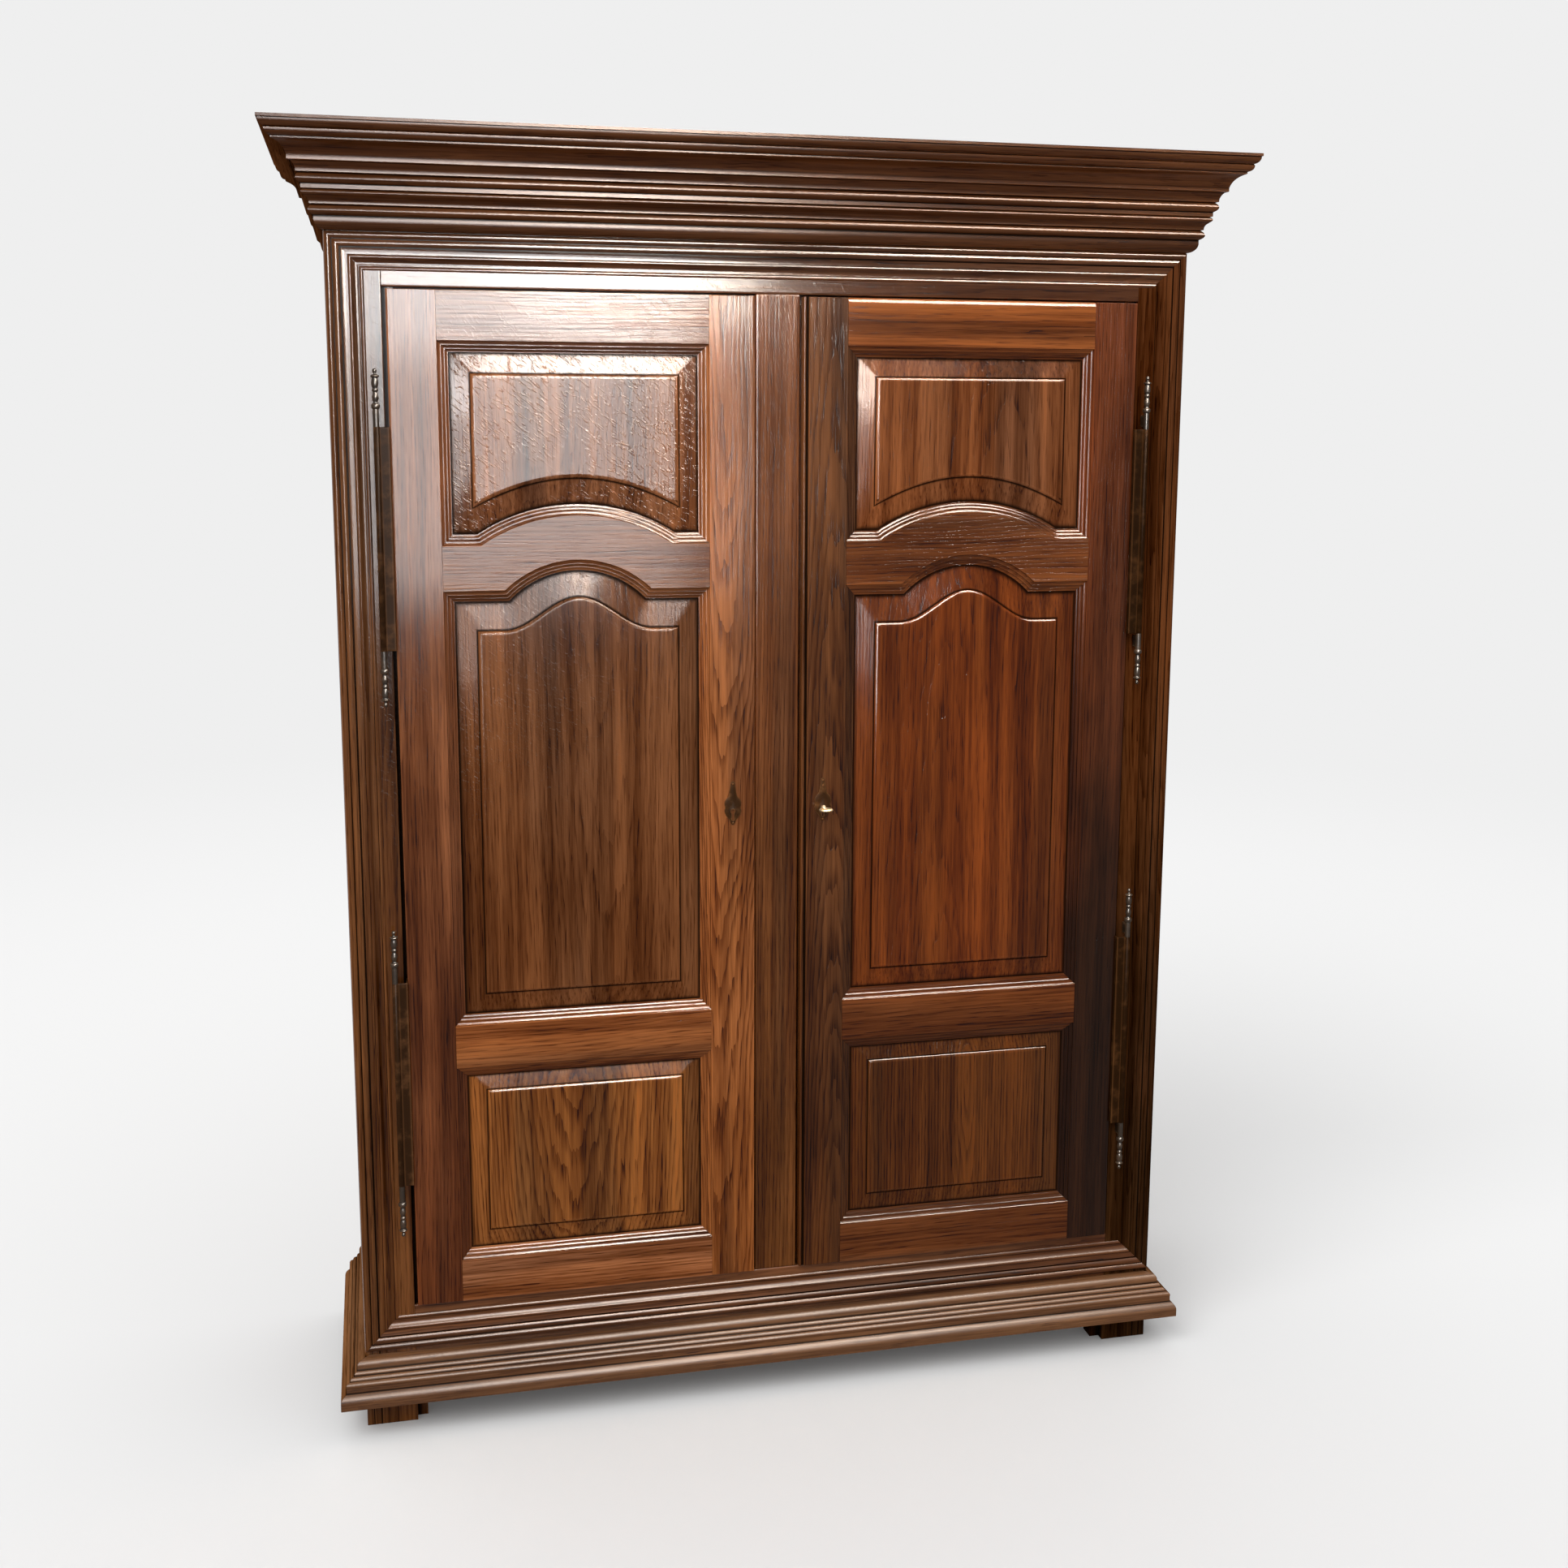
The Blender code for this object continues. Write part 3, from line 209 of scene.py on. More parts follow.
def board(lowCorner, highCorner, axis, radius=0.0012):
    # A plank with softened arrises: the rounded section carried along its axis, drawn in at both ends.
    across, depth = [i for i in range(3) if i != axis]
    section, wear = roundedSection(
        (lowCorner[across], lowCorner[depth]), (highCorner[across], highCorner[depth]), radius
    )
    middle = (section.min(axis=0) + section.max(axis=0)) / 2
    half = (section.max(axis=0) - section.min(axis=0)) / 2
    low, high = lowCorner[axis], highCorner[axis]
    steps = np.array([0.0, 0.3 * radius, radius, radius + 0.003])
    ends = np.concatenate([low + steps, high - steps[::-1]])
    draw = np.array([radius, 0.3 * radius, 0.0, 0.0, 0.0, 0.0, 0.3 * radius, radius])
    points = np.zeros((len(section), len(ends), 3))
    for column, width in ((across, 0), (depth, 1)):
        scale = 1 - draw / half[width]
        points[:, :, column] = middle[width] + (section[:, width, None] - middle[width]) * scale
    points[:, :, axis] = ends
    return shell(points, wear)


def turning(profile, centre, axis=2, count=36, wear=0.0):
    # A profile of (radius, height) turned about a line through centre along one axis.
    radius, height = np.asarray(profile).T
    angle = np.linspace(0, 2 * math.pi, count, endpoint=False)[:, None]
    axes = [np.cos(angle) * radius, np.sin(angle) * radius]
    axes.insert(axis, height)
    return shell(places(*axes) + centre, np.atleast_2d(wear))


def smoothed(points, steps=6, closed=False):
    # A Catmull-Rom curve through the points: each stretch is a cubic of its four nearest points.
    points = np.asarray(points, float)
    if closed:
        around = np.concatenate([points[-1:], points, points[:2]])
    else:
        around = np.concatenate([2 * points[:1] - points[1:2], points, 2 * points[-1:] - points[-2:-1]])
    p0, p1, p2, p3 = (around[i : len(around) - 3 + i, None] for i in range(4))
    t = np.linspace(0, 1, steps, endpoint=False)[None, :, None]
    square, cube = 2 * p0 - 5 * p1 + 4 * p2 - p3, 3 * p1 - p0 - 3 * p2 + p3
    curve = 2 * p1 + (p2 - p0) * t + square * t**2 + cube * t**3
    curve = 0.5 * curve.reshape(-1, points.shape[1])
    return curve if closed else np.concatenate([curve, points[-1:]])


# Finishes


def arithmetic(operation, turned=False):
    # A method that adds a Math node. Turned, it takes the other number first.
    def made(self, other):
        return self.maths(operation, other, self) if turned else self.maths(operation, self, other)

    return made


class Number:
    # A socket that carries a number over a surface
    def __init__(self, finish, socket):
        self.finish = finish
        self.socket = socket

    def maths(self, operation, *values):
        return self.finish.number("ShaderNodeMath", {"operation": operation}, dict(enumerate(values)))

    __add__, __radd__ = arithmetic("ADD"), arithmetic("ADD", turned=True)
    __sub__, __rsub__ = arithmetic("SUBTRACT"), arithmetic("SUBTRACT", turned=True)
    __mul__, __rmul__ = arithmetic("MULTIPLY"), arithmetic("MULTIPLY", turned=True)
    __truediv__ = arithmetic("DIVIDE")
    __pow__ = arithmetic("POWER")
    least = arithmetic("MINIMUM")
    most = arithmetic("MAXIMUM")

    def part(self):
        return self.maths("FRACT", self)

    def step(self, low, high):
        # 0 below low, 1 above high, with an eased slope between
        return self.finish.number(
            "ShaderNodeMapRange",
            {"interpolation_type": "SMOOTHSTEP"},
            {"Value": self, "From Min": low, "From Max": high},
        )


socketNames = {"Colour": "Base Color", "Specular": "Specular IOR Level", "Tint": "Specular Tint"}


class Finish:
    # The nodes of one material, or of the world
    def __init__(self, name, owner=None):
        self.material = owner or bpy.data.materials.new(name)
        self.material.use_nodes = True
        self.tree = self.material.node_tree
        self.shader = self.tree.nodes.get("Principled BSDF")

    def node(self, kind, settings, values):
        made = self.tree.nodes.new(kind)
        for key, value in settings.items():
            if key == "stops":
                ramp = made.color_ramp
                while len(ramp.elements) < len(value):
                    ramp.elements.new(1.0)
                for element, (position, colour) in zip(ramp.elements, value):
                    element.position = position
                    element.color = (*colour, 1.0)
            else:
                setattr(made, key, value)
        for key, value in values.items():
            self.feed(made.inputs[key], value)
        return made

    def feed(self, socket, value):
        if isinstance(value, Number):
            value = value.socket
        if isinstance(value, bpy.types.NodeSocket):
            self.tree.links.new(value, socket)
        else:
            socket.default_value = value

    def number(self, kind, settings, values, output=0):
        return Number(self, self.node(kind, settings, values).outputs[output])

    def coordinates(self, order="xyz"):
        # Object coordinates, put in the order (across the board, into it, along its grain)
        place = self.node("ShaderNodeTexCoord", {}, {}).outputs["Object"]
        split = self.node("ShaderNodeSeparateXYZ", {}, {0: place})
        axes = [Number(self, split.outputs["xyz".index(letter)]) for letter in order]
        joined = self.node("ShaderNodeCombineXYZ", {}, dict(enumerate(axes))).outputs[0]
        return axes, joined

    def noise(self, place, stretch, shift, detail=2.0, roughness=0.5, distortion=0.0):
        settings = {"operation": "MULTIPLY_ADD"}
        moved = self.node("ShaderNodeVectorMath", settings, {0: place, 1: stretch, 2: shift})
        values = {"Scale": 1.0, "Detail": detail, "Roughness": roughness, "Distortion": distortion}
        return self.number("ShaderNodeTexNoise", {}, {"Vector": moved.outputs[0], **values})

    def mix(self, factor, first, second, blend="MIX"):
        settings = {"data_type": "RGBA", "blend_type": blend}
        return self.node("ShaderNodeMix", settings, {0: factor, 6: first, 7: second}).outputs[2]

    # The signed edge value on the mesh's points: 1 on an arris, -1 in a quirk. On oak it gives lighter
    # arrises (rubbed wear and a painted highlight) and a dark coat in the quirks (dirt and painted shade).
    def wear(self):
        return self.number("ShaderNodeAttribute", {"attribute_name": "wear"}, {}, "Fac")

    def bump(self, height):
        # height in metres
        made = self.node("ShaderNodeBump", {}, {"Height": height, "Strength": 1.0, "Distance": 1.0})
        self.feed(self.shader.inputs["Normal"], made.outputs[0])

    def seenRays(self):
        # 1 for rays that come from the camera, or by way of metal, wax or glass
        path = self.node("ShaderNodeLightPath", {}, {})
        camera, glossy, through = (
            Number(self, path.outputs[f"Is {kind} Ray"]) for kind in ("Camera", "Glossy", "Transmission")
        )
        return camera.most(glossy).most(through)

    def plain(self, kind, colour, **strength):
        return self.node(f"ShaderNode{kind}", {}, {"Color": (*colour, 1.0), **strength}).outputs[0]

    def blend(self, share, first, second):
        return self.node("ShaderNodeMixShader", {}, {0: share, 1: first, 2: second}).outputs[0]

    def show(self, shader, output="Material Output"):
        self.tree.links.new(shader, self.tree.nodes[output].inputs["Surface"])

    def cover(self, share, colour):
        # Lays a matt coat over the shader
        matt = self.plain("BsdfDiffuse", colour)
        self.show(self.blend(share, self.shader.outputs[0], matt))

    def set(self, **values):
        for key, value in values.items():
            self.feed(self.shader.inputs[socketNames.get(key, key)], value)
        return self.material


def linear(*levels):
    # Colour levels of 0 to 255 as Blender's linear colour
    levels = np.array(levels) / 255
    return np.where(levels <= 0.04045, levels / 12.92, ((levels + 0.055) / 1.055) ** 2.4)


# Colour of the matt coat in the quirks: dirt, and painted shade in the hollows.
dirtAndPaintedShade = (0.006, 0.003, 0.0015)
plainOak = {
    "order": "xyz",  # across the board, into it, along its grain
    "tone": (104, 60, 34),
    "lowTone": None,  # tone at the low end, if it differs
    "ends": (0.25, 1.95),  # where along the grain the two tones lie
    "seed": 0.0,
    "pith": (0.0, 0.10, 0.03),  # the log's heart: across, behind the face, lean along the grain
    "face": -0.183,
    "ring": 0.0048,
    "rings": 0.14,  # how strongly the growth rings show
    "streaks": 1.45,
    "staves": 0.55,  # how strongly duller and redder stretches run along the board
    "stave": 10.0,  # how many of them to the metre
    "patches": 0.5,
    "fleck": 0.10,
    "pores": 0.30,
    "roughness": 0.12,
    "gloss": 0.08,
    # how dark the quirks' coat is: dirt and painted shade
    "grimeAndPaintedShade": 0.92,
    # how much lighter the arrises are: rubbed wear and painted highlight
    "rubbedAndPaintedHighlight": 0.16,
    "relief": 1.0,
}


def oak(node, **changes):
    # Stained and waxed oak. Rings are distances from a leaning heart line, streaks and pores are noise drawn
    # out along the grain, flecks are short slanting noise across it, a dark matt coat in the quirks is dirt
    # and painted shade, and lighter arrises are rubbed wear and a painted highlight.
    wood = {**plainOak, **changes}
    seed = wood["seed"]
    f = Finish(f"{node}_oak")
    (across, depth, along), place = f.coordinates(wood["order"])
    wobble = f.noise(place, (2.2, 2.2, 0.9), (seed, 3.1, -seed), 2.0)
    ripple = f.noise(place, (40.0, 40.0, 4.0), (seed, -seed, 1.7), 3.0, 0.6)
    pithAcross, pithDepth, lean = wood["pith"]
    side = across - pithAcross + (wobble - 0.5) * 0.07
    inner = depth - wood["face"] + pithDepth + (along - 1.1) * lean + (wobble - 0.5) * 0.05
    radius = (side * side + inner * inner) ** 0.5
    saw = (radius / wood["ring"] + (ripple - 0.5) * 2.4).part()
    band = 1 - saw.step(0.02, 0.62)
    streak = f.noise(place, (34.0, 34.0, 0.8), (-seed, 5.0, seed), 4.0, 0.66)
    fibre = f.noise(place, (230.0, 230.0, 5.0), (seed, 0.7, seed), 3.0, 0.65)
    patch = f.noise(place, (6.0, 6.0, 2.6), (2.0 * seed, 1.0, 9.0), 3.0, 0.55)
    width = wood["stave"]
    stave = f.noise(place, (width, width, 0.05 * width), (3.0 * seed, 2.0, seed), 2.0, 0.5)
    pore = f.noise(place, (620.0, 620.0, 22.0), (seed, 8.0, -seed), 1.0)
    pores = pore.step(0.50, 0.68) * (band * 0.7 + 0.3)
    slanted = f.node("ShaderNodeCombineXYZ", {}, {0: across, 1: depth, 2: along + across * 0.75}).outputs[0]
    flecks = f.noise(slanted, (85.0, 85.0, 250.0), (4.0, seed, seed), 2.0, 0.55, 0.6).step(0.54, 0.66)
    flecks = flecks * patch.step(0.30, 0.52) * wood["fleck"]
    wear = f.wear()
    arris = wear.most(0.0) * (0.35 + patch)
    quirk = (wear * -1.0).step(0.0, 0.75)
    level = 0.52 + (streak - 0.5) * wood["streaks"] + (patch - 0.5) * wood["patches"] + (fibre - 0.5) * 0.55
    level = level - (band - 0.4) * wood["rings"] - pores * wood["pores"]
    # Lighter arrises: rubbed wear and a painted highlight.
    level = level + flecks * 0.1 + arris * wood["rubbedAndPaintedHighlight"]
    stops = (
        (0.06, (0.07, 0.035, 0.015)),
        (0.32, (0.30, 0.25, 0.17)),
        (0.52, (0.50, 0.50, 0.50)),
        (0.74, (0.80, 0.87, 0.98)),
        (0.95, (1.0, 1.0, 1.0)),
    )
    figure = f.node("ShaderNodeValToRGB", {"stops": stops}, {0: level}).outputs[0]
    high = linear(*wood["tone"]) * 2
    low = high if wood["lowTone"] is None else linear(*wood["lowTone"]) * 2
    start, end = wood["ends"]
    height = ((along - start) / (end - start) + (patch - 0.5) * 0.9).step(0.0, 1.0)
    stain = f.mix(height, (*low, 1.0), (*high, 1.0))
    dull = f.mix(1.0, stain, (0.55, 0.66, 0.95, 1.0), "MULTIPLY")
    red = f.mix(1.0, stain, (1.18, 1.06, 0.85, 1.0), "MULTIPLY")
    stain = f.mix(stave.step(0.53, 0.62) * wood["staves"], stain, dull)
    stain = f.mix((1 - stave.step(0.38, 0.47)) * wood["staves"], stain, red)
    colour = f.mix(1.0, figure, stain, "MULTIPLY")
    # Dark matt coat in the quirks: dirt and painted shade.
    f.cover(quirk * wood["grimeAndPaintedShade"], dirtAndPaintedShade)
    waxed = wood["roughness"] + pores * 0.06 + (patch - 0.5) * 0.06
    relief = fibre * 0.00010 - pores * 0.00004 - band * 0.00004 + patch * 0.0004 + ripple * 0.00012
    f.bump(relief * wood["relief"] + flecks * 0.00045)
    return f.set(Colour=colour, Roughness=waxed, Specular=wood["gloss"], Tint=(0.97, 0.99, 1.0, 1.0))


def agedIron(node, tone=(60, 48, 36), seed=0.0, roughness=0.34, gloss=0.15):
    # Blackened iron: brown where it is handled and on its edges, pitted, with duller hollows.
    f = Finish(f"{node}_iron")
    _, place = f.coordinates()
    patch = f.noise(place, (45.0, 45.0, 45.0), (seed, 1.0, 2.0), 4.0, 0.6)
    pit = f.noise(place, (900.0, 900.0, 900.0), (1.0, seed, 2.0), 2.0)
    wear = f.wear()
    rub = (wear.most(0.0) * 0.7 + patch.step(0.45, 0.75) * 0.6).least(1.0)
    quirk = (wear * -1.0).most(0.0)
    dark = linear(*tone) * 0.35
    light = linear(*tone) * 1.5
    colour = f.mix(rub, (*dark, 1.0), (*light, 1.0))
    colour = f.mix(quirk * 0.6, colour, (*linear(22, 15, 10), 1.0))
    f.bump(patch * 0.00035 + pit * 0.00004)
    dull = roughness + (patch - 0.5) * 0.3 + quirk * 0.15 - rub * 0.08
    return f.set(Colour=colour, Roughness=dull, Specular=gloss)


def brightMetal(node, tone=(132, 118, 96), seed=0.0):
    # Worn nickel over brass: yellow where the plating has gone, finely scratched along and across.
    f = Finish(f"{node}_nickel")
    _, place = f.coordinates()
    patch = f.noise(place, (120.0, 120.0, 120.0), (seed, 1.0, 2.0), 3.0, 0.6)
    scratch = f.noise(place, (2200.0, 160.0, 1500.0), (1.0, seed, 2.0), 2.0)
    colour = f.mix(patch.step(0.4, 0.7), (*linear(*tone), 1.0), (*linear(118, 92, 60), 1.0))
    f.bump(scratch * 0.00002 + patch * 0.00012)
    return f.set(Colour=colour, Roughness=0.40 + (scratch - 0.5) * 0.3 + patch * 0.12, Metallic=0.85)


def dress(node, material):
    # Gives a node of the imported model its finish
    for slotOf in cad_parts[node].material_slots:
        slotOf.material = material


# Cornice and base

cornice = {
    "bottom": 2.0566,
    # out from the fascia, up from the bottom, bulge
    "profile": (
        (0, 0, 0), (0.004, 0.001, 0), (0.013, 0.017, 0.003), (0.013, 0.021, 0), (0.015, 0.037, 0.007),
        (0.019, 0.038, 0), (0.025, 0.049, -0.002), (0.026, 0.05, 0), (0.026, 0.059, 0.0042),
        (0.03, 0.06, 0), (0.03, 0.067, 0), (0.032, 0.083, 0.0065), (0.037, 0.084, 0),
        (0.044, 0.099, -0.002), (0.049, 0.1, 0), (0.049, 0.106, 0), (0.069, 0.127, -0.004),
        (0.071, 0.128, 0), (0.071, 0.131, 0), (0.08, 0.141, 0.003), (0.0785, 0.143, 0),
        (0.088, 0.155, 0.003), (0.09, 0.1555, 0), (0.09, 0.16, 0),
    ),
    "tone": (82, 46, 22),
    "gloss": 0.06,
    "roughness": 0.20,
}
base = {
    "bottom": 0.060,
    "profile": (
        (0.043, 0, 0), (0.043, 0.014, 0), (0.034, 0.026, 0.0022), (0.033, 0.027, 0), (0.033, 0.037, 0),
        (0.028, 0.045, 0.0025), (0.0265, 0.0455, 0), (0.02, 0.051, 0.002), (0.019, 0.052, 0),
        (0.0145, 0.058, 0.0015), (0.014, 0.059, 0), (0.014, 0.064, 0), (0.005, 0.0745, 0.003),
        (0, 0.075, 0),
    ),
    "tone": (92, 58, 32),
    "gloss": 0.10,
    "roughness": 0.40,
}
# The runs' arrises are lighter: rubbed wear and painted highlight.
runLook = {"ring": 0.006, "rings": 0.05, "staves": 0.3, "streaks": 1.0, "relief": 0.12, "rubbedAndPaintedHighlight": 0.22}


def mitredRuns(name, settings, seed):
    # Front and side lengths: each point of the section is carried straight to the plane of its mitre.
    outline, wear = drawn(settings["profile"], margin=0.0020)
    outline = outline + (0, settings["bottom"])
    gap, half, fascia = body["gap"], body["half"], body["fascia"]
    shade = np.array([0, *wear, 0])
    style = {**runLook, "tone": settings["tone"], "roughness": settings["roughness"]}
    style["pith"] = (settings["bottom"], 0.16, 0.004)
    inner = np.array([[gap - 0.007, outline[0, 1]], *outline, [gap - 0.007, outline[-1, 1]]])
    points = places((half + inner[:, :1] - gap) * (-1, 1), fascia - inner[:, :1], inner[:, 1:])
    finish = oak(f"{name}_front", order="zyx", seed=seed, gloss=settings["gloss"], **style)
    put(f"{name}_front", "run", [shell(points, shade)], finish)
    run = np.array([[gap, outline[0, 1]], *np.maximum(outline, (gap, 0)), [gap, outline[-1, 1]]])
    depth = np.stack([fascia - run[:, 0] + gap, np.full(len(run), body["back"])], axis=1)
    for side, word in sides:
        points = places(side * (half + run[:, :1]), depth, run[:, 1:])
        look = {**style, "seed": seed + side, "face": side * half, "gloss": 0.0}
        put(f"{name}_{word}", "run", [shell(points, shade)], oak(f"{name}_{word}", order="zxy", **look))


mitredRuns("cornice", cornice, 3.3)
mitredRuns("base", base, 7.9)
print("cornice and base done")


# Posts and rails with the stepped frame moulding

frameMoulding = {
    # out from the inner edge, rise from the flat, bulge
    "profile": (
        (-0.006, 0, 0), (0.0005, 0.0002, -0.0016), (0.002, 0.0003, 0), (0.0125, 0.0034, 0.0016),
        (0.013, 0.004, 0), (0.0175, 0.0038, -0.0008), (0.0178, 0.0033, 0), (0.028, 0.004, 0.0004),
        (0.0283, 0.0026, 0), (0.031, 0.0026, 0), (0.0313, 0.0041, 0), (0.0412, 0.0046, -0.0019),
        (0.0416, 0.0036, 0), (0.0432, 0.0036, 0), (0.0436, 0.0046, 0), (0.0536, 0.0048, -0.0027),
        (0.054, 0.001, 0),
    ),
    "foot": 0.006,  # how far it runs in under the flat's edge
    "width": 0.054,
    "arris": 0.0012,
    "railTone": (90, 52, 27),
    "railGloss": {"top": 0.11, "bottom": 0.09},
    "railRoughness": {"top": 0.12, "bottom": 0.30},
    "relief": 0.25,
    "gloss": {"left": 0.08, "right": 0.0},
    # The right post is darker than the left partly as painted shade, for light that falls off towards the
    # right.
    "postTones": {"left": ((98, 60, 33), (86, 50, 22)), "right": ((86, 46, 21), (49, 27, 10))},
}


def frontPosts():
    # The post's plan carried up from the floor. Its moulding rises between the two mitres, where the height
    # of each point is the rail's inner edge plus the distance out.
    outline, wear = drawn(frameMoulding["profile"], sign=-1, margin=0.0018)
    inner, half, width = body["openingEdge"], body["half"], frameMoulding["width"]
    arris, chamfer = frameMoulding["arris"], 0.0015
    for side, word in sides:
        # across, depth behind the flat, rise of the moulding, distance out, wear and painted light
        rows = [
            (body["stopEdge"], body["postRear"] - body["flat"], 0, 0, 0),
            (body["stopEdge"], body["stop"] - body["flat"], 0, 0, 0.5),
            (inner, body["stop"] - body["flat"], 0, 0, -1),
            (inner, 0.004, 0, 0, 0),
            (inner, arris, 0, 0, 1),
            (inner + 0.3 * arris, 0.3 * arris, 0, 0, 1),
            (inner + arris, 0, 0, 0, 1),
            (inner + 0.004, 0, 0, 0, 0),
            (body["mouldingEdge"] - 0.009, 0, 0, -frameMoulding["foot"], 0),
        ]
        rows += [(body["mouldingEdge"] + out, 0, rise, out, w) for (out, rise), w in zip(outline, wear)]
        rows += [
            (half - 0.0004, 0.0006, 0, width, 1),
            (half, 0.0018, 0, width, 1),
            (half, 0.004, 0, width, 0),
            (half, body["postRear"] - body["flat"], 0, width, 0),
        ]
        rows = np.array(rows)
        low, high = body["mouldingBottom"] - rows[:, 3], body["mouldingTop"] + rows[:, 3]
        ones = np.ones(len(rows))
        heights = [0 * ones, chamfer * ones, low, low, high, high, body["postTop"] * ones]
        rising = np.array([0, 0, 0, 1, 1, 0, 0])
        least = np.array([arris, 0, 0, 0, 0, 0, 0])
        depth = body["flat"] + np.maximum(rows[:, 1:2], least) - rows[:, 2:3] * rising
        high, low = frameMoulding["postTones"][word]
        finish = oak(
            f"front_post_{word}",
            tone=high,
            lowTone=low,
            seed=11.0 + 2 * side,
            pith=(side * 0.60, 0.12, 0.01),
            relief=frameMoulding["relief"],
            gloss=frameMoulding["gloss"][word],
        )
        skin = shell(places(side * rows[:, :1], depth, np.stack(heights, axis=1)), rows[:, 4])
        put(f"front_post_{word}", "carved", [skin], finish)


def frontRails():
    # Each rail is a rebated plank between the posts, and its moulding runs over them to the mitres.
    outline, wear = drawn(frameMoulding["profile"], sign=-1, margin=0.0018)
    gap = body["gap"]
    words = {
        "top": (body["postTop"], body["openingTop"], body["stopTop"], body["mouldingTop"], 1),
        "bottom": (body["railBottom"], body["openingBottom"], body["stopBottom"], body["mouldingBottom"], -1),
    }
    for word, (outer, opening, stop, edge, outward) in words.items():
        arris = frameMoulding["arris"] * outward
        rows = np.array(
            [
                (body["postRear"], outer, 0),
                (body["flat"], outer, 0),
                (body["flat"], opening + 3 * arris, 0),
                (body["flat"], opening + arris, 1),
                (body["flat"] + 0.0004, opening + 0.3 * arris, 1),
                (body["flat"] + 0.0012, opening, 1),
                (body["flat"] + 0.004, opening, 0),
                (body["stop"], opening, -1),
                (body["stop"], stop, 0.5),
                (body["postRear"], stop, 0),
            ]
        )
        # In front of the posts' rebates the plank is longer than behind them.
        half = np.where(rows[:, 0] < body["stop"], body["openingEdge"], body["stopEdge"]) - gap
        plank = shell(places(half[:, None] * (-1, 1), rows[:, :1], rows[:, 1:2]), rows[:, 2])
        # The moulding stands a gap clear of the posts that it runs over.
        foot, width = frameMoulding["foot"], frameMoulding["width"]
        run = np.array([[-foot, -gap / 2], *outline, [width, -gap / 2]]) + (0, gap)
        across = (body["mouldingEdge"] + run[:, :1] - gap) * (-1, 1)
        points = places(across, body["flat"] - run[:, 1:], edge + outward * run[:, :1])
        finish = oak(
            f"front_{word}_rail",
            order="zyx",
            tone=frameMoulding["railTone"],
            seed=17.0 + 3 * outward,
            pith=(edge - outward * 0.09, 0.14, 0.006),
            ring=0.006,
            relief=frameMoulding["relief"],
            gloss=frameMoulding["railGloss"][word],
            roughness=frameMoulding["railRoughness"][word],
        )
        put(f"front_{word}_rail", "carved", [plank, shell(points, [0, *wear, 0])], finish)


centrePostLook = {"tone": (114, 64, 32), "lowTone": (89, 49, 17), "pith": (0.09, 0.08, 0.012), "seed": 23.0}


def centrePost():
    # A plank with softened arrises in front, and the flange behind it that the doors shut against.
    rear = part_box("centre_post")[1][1]
    bottom, top = body["openingBottom"] + body["gap"], body["openingTop"] - body["gap"]
    webBottom, webTop = body["stopBottom"] + body["gap"], body["stopTop"] - body["gap"]
    halfPost, halfWeb, halfFlange, lap = 0.038, 0.036, 0.055, 0.004
    stop = body["stop"]
    post = board((-halfPost, body["flat"], bottom), (halfPost, stop - 0.003, top), 2, 0.0016)
    web = board((-halfWeb, stop - lap, webBottom), (halfWeb, stop + lap, webTop), 2)
    flange = board((-halfFlange, stop, webBottom), (halfFlange, rear, webTop), 2)
    put("centre_post", "plank", [post, web, flange], oak("centre_post", **centrePostLook))


frontPosts()
frontRails()
centrePost()
print("frame done")


# Doors

sticking = (
    # in from the flat, depth below the face, bulge
    (-0.008, 0, 0), (-0.0002, 0, 0), (0.0004, 0.0006, 0), (0.0005, 0.002, 0), (0.007, 0.0045, -0.0008),
    (0.007, 0.006, 0), (0.013, 0.0085, -0.0008), (0.013, 0.01, 0), (0.018, 0.0115, -0.0004),
    (0.018, 0.0122, 0),
)
sightLine = 0.018  # where the sticking ends and the panel shows
groove = {"floor": 0.0090, "front": 0.0122, "back": 0.0188}
openings = {
    "upper": {"bottom": 1.556, "top": 1.888, "bottomArch": (0.160, 0.049)},
    "middle": {"bottom": 0.730, "top": 1.481, "topArch": (0.123, 0.050)},
    "lower": {"bottom": 0.300, "top": 0.655},
}
# Tones of each board at its high and low end: the boards' own colour, and on the right door, which is darker,
# also painted shade for light that falls off towards the right.
doorTones = {
    "left": {
        "hinge_stile": ((128, 76, 44), (80, 38, 14)),
        "lock_stile": ((146, 86, 47), (121, 66, 26)),
        "top_rail": ((117, 67, 37), None),
        "arched_rail": ((111, 64, 32), None),
        "lower_rail": ((123, 69, 32), None),
        "bottom_rail": ((143, 86, 49), None),
        "upper_panel": ((119, 71, 40), None),
        "middle_panel": ((103, 63, 37), (91, 51, 24)),
        "lower_panel": ((115, 65, 25), None),
    },
    "right": {
        "hinge_stile": ((100, 48, 21), (38, 17, 5)),
        "lock_stile": ((99, 57, 28), (70, 35, 10)),
        "top_rail": ((130, 68, 27), None),
        "arched_rail": ((103, 54, 22), None),
        "lower_rail": ((92, 47, 18), None),
        "bottom_rail": ((92, 48, 19), None),
        "upper_panel": ((117, 66, 34), None),
        "middle_panel": ((107, 49, 14), (93, 42, 9)),
        "lower_panel": ((77, 38, 9), None),
    },
}
stainEnds = {"right_hinge_stile": (0.70, 2.0)}
rightFleck = 0.1  # the right door's flecks, as a share of the left one's
dullPanels = {"left_middle_panel": 0.035, "right_upper_panel": 0.055}
# points of an opening's edge: at each end, and in the arc or in a straight middle of this half width
endPoints, arcPoints, straightHalf = 6, 49, 0.14


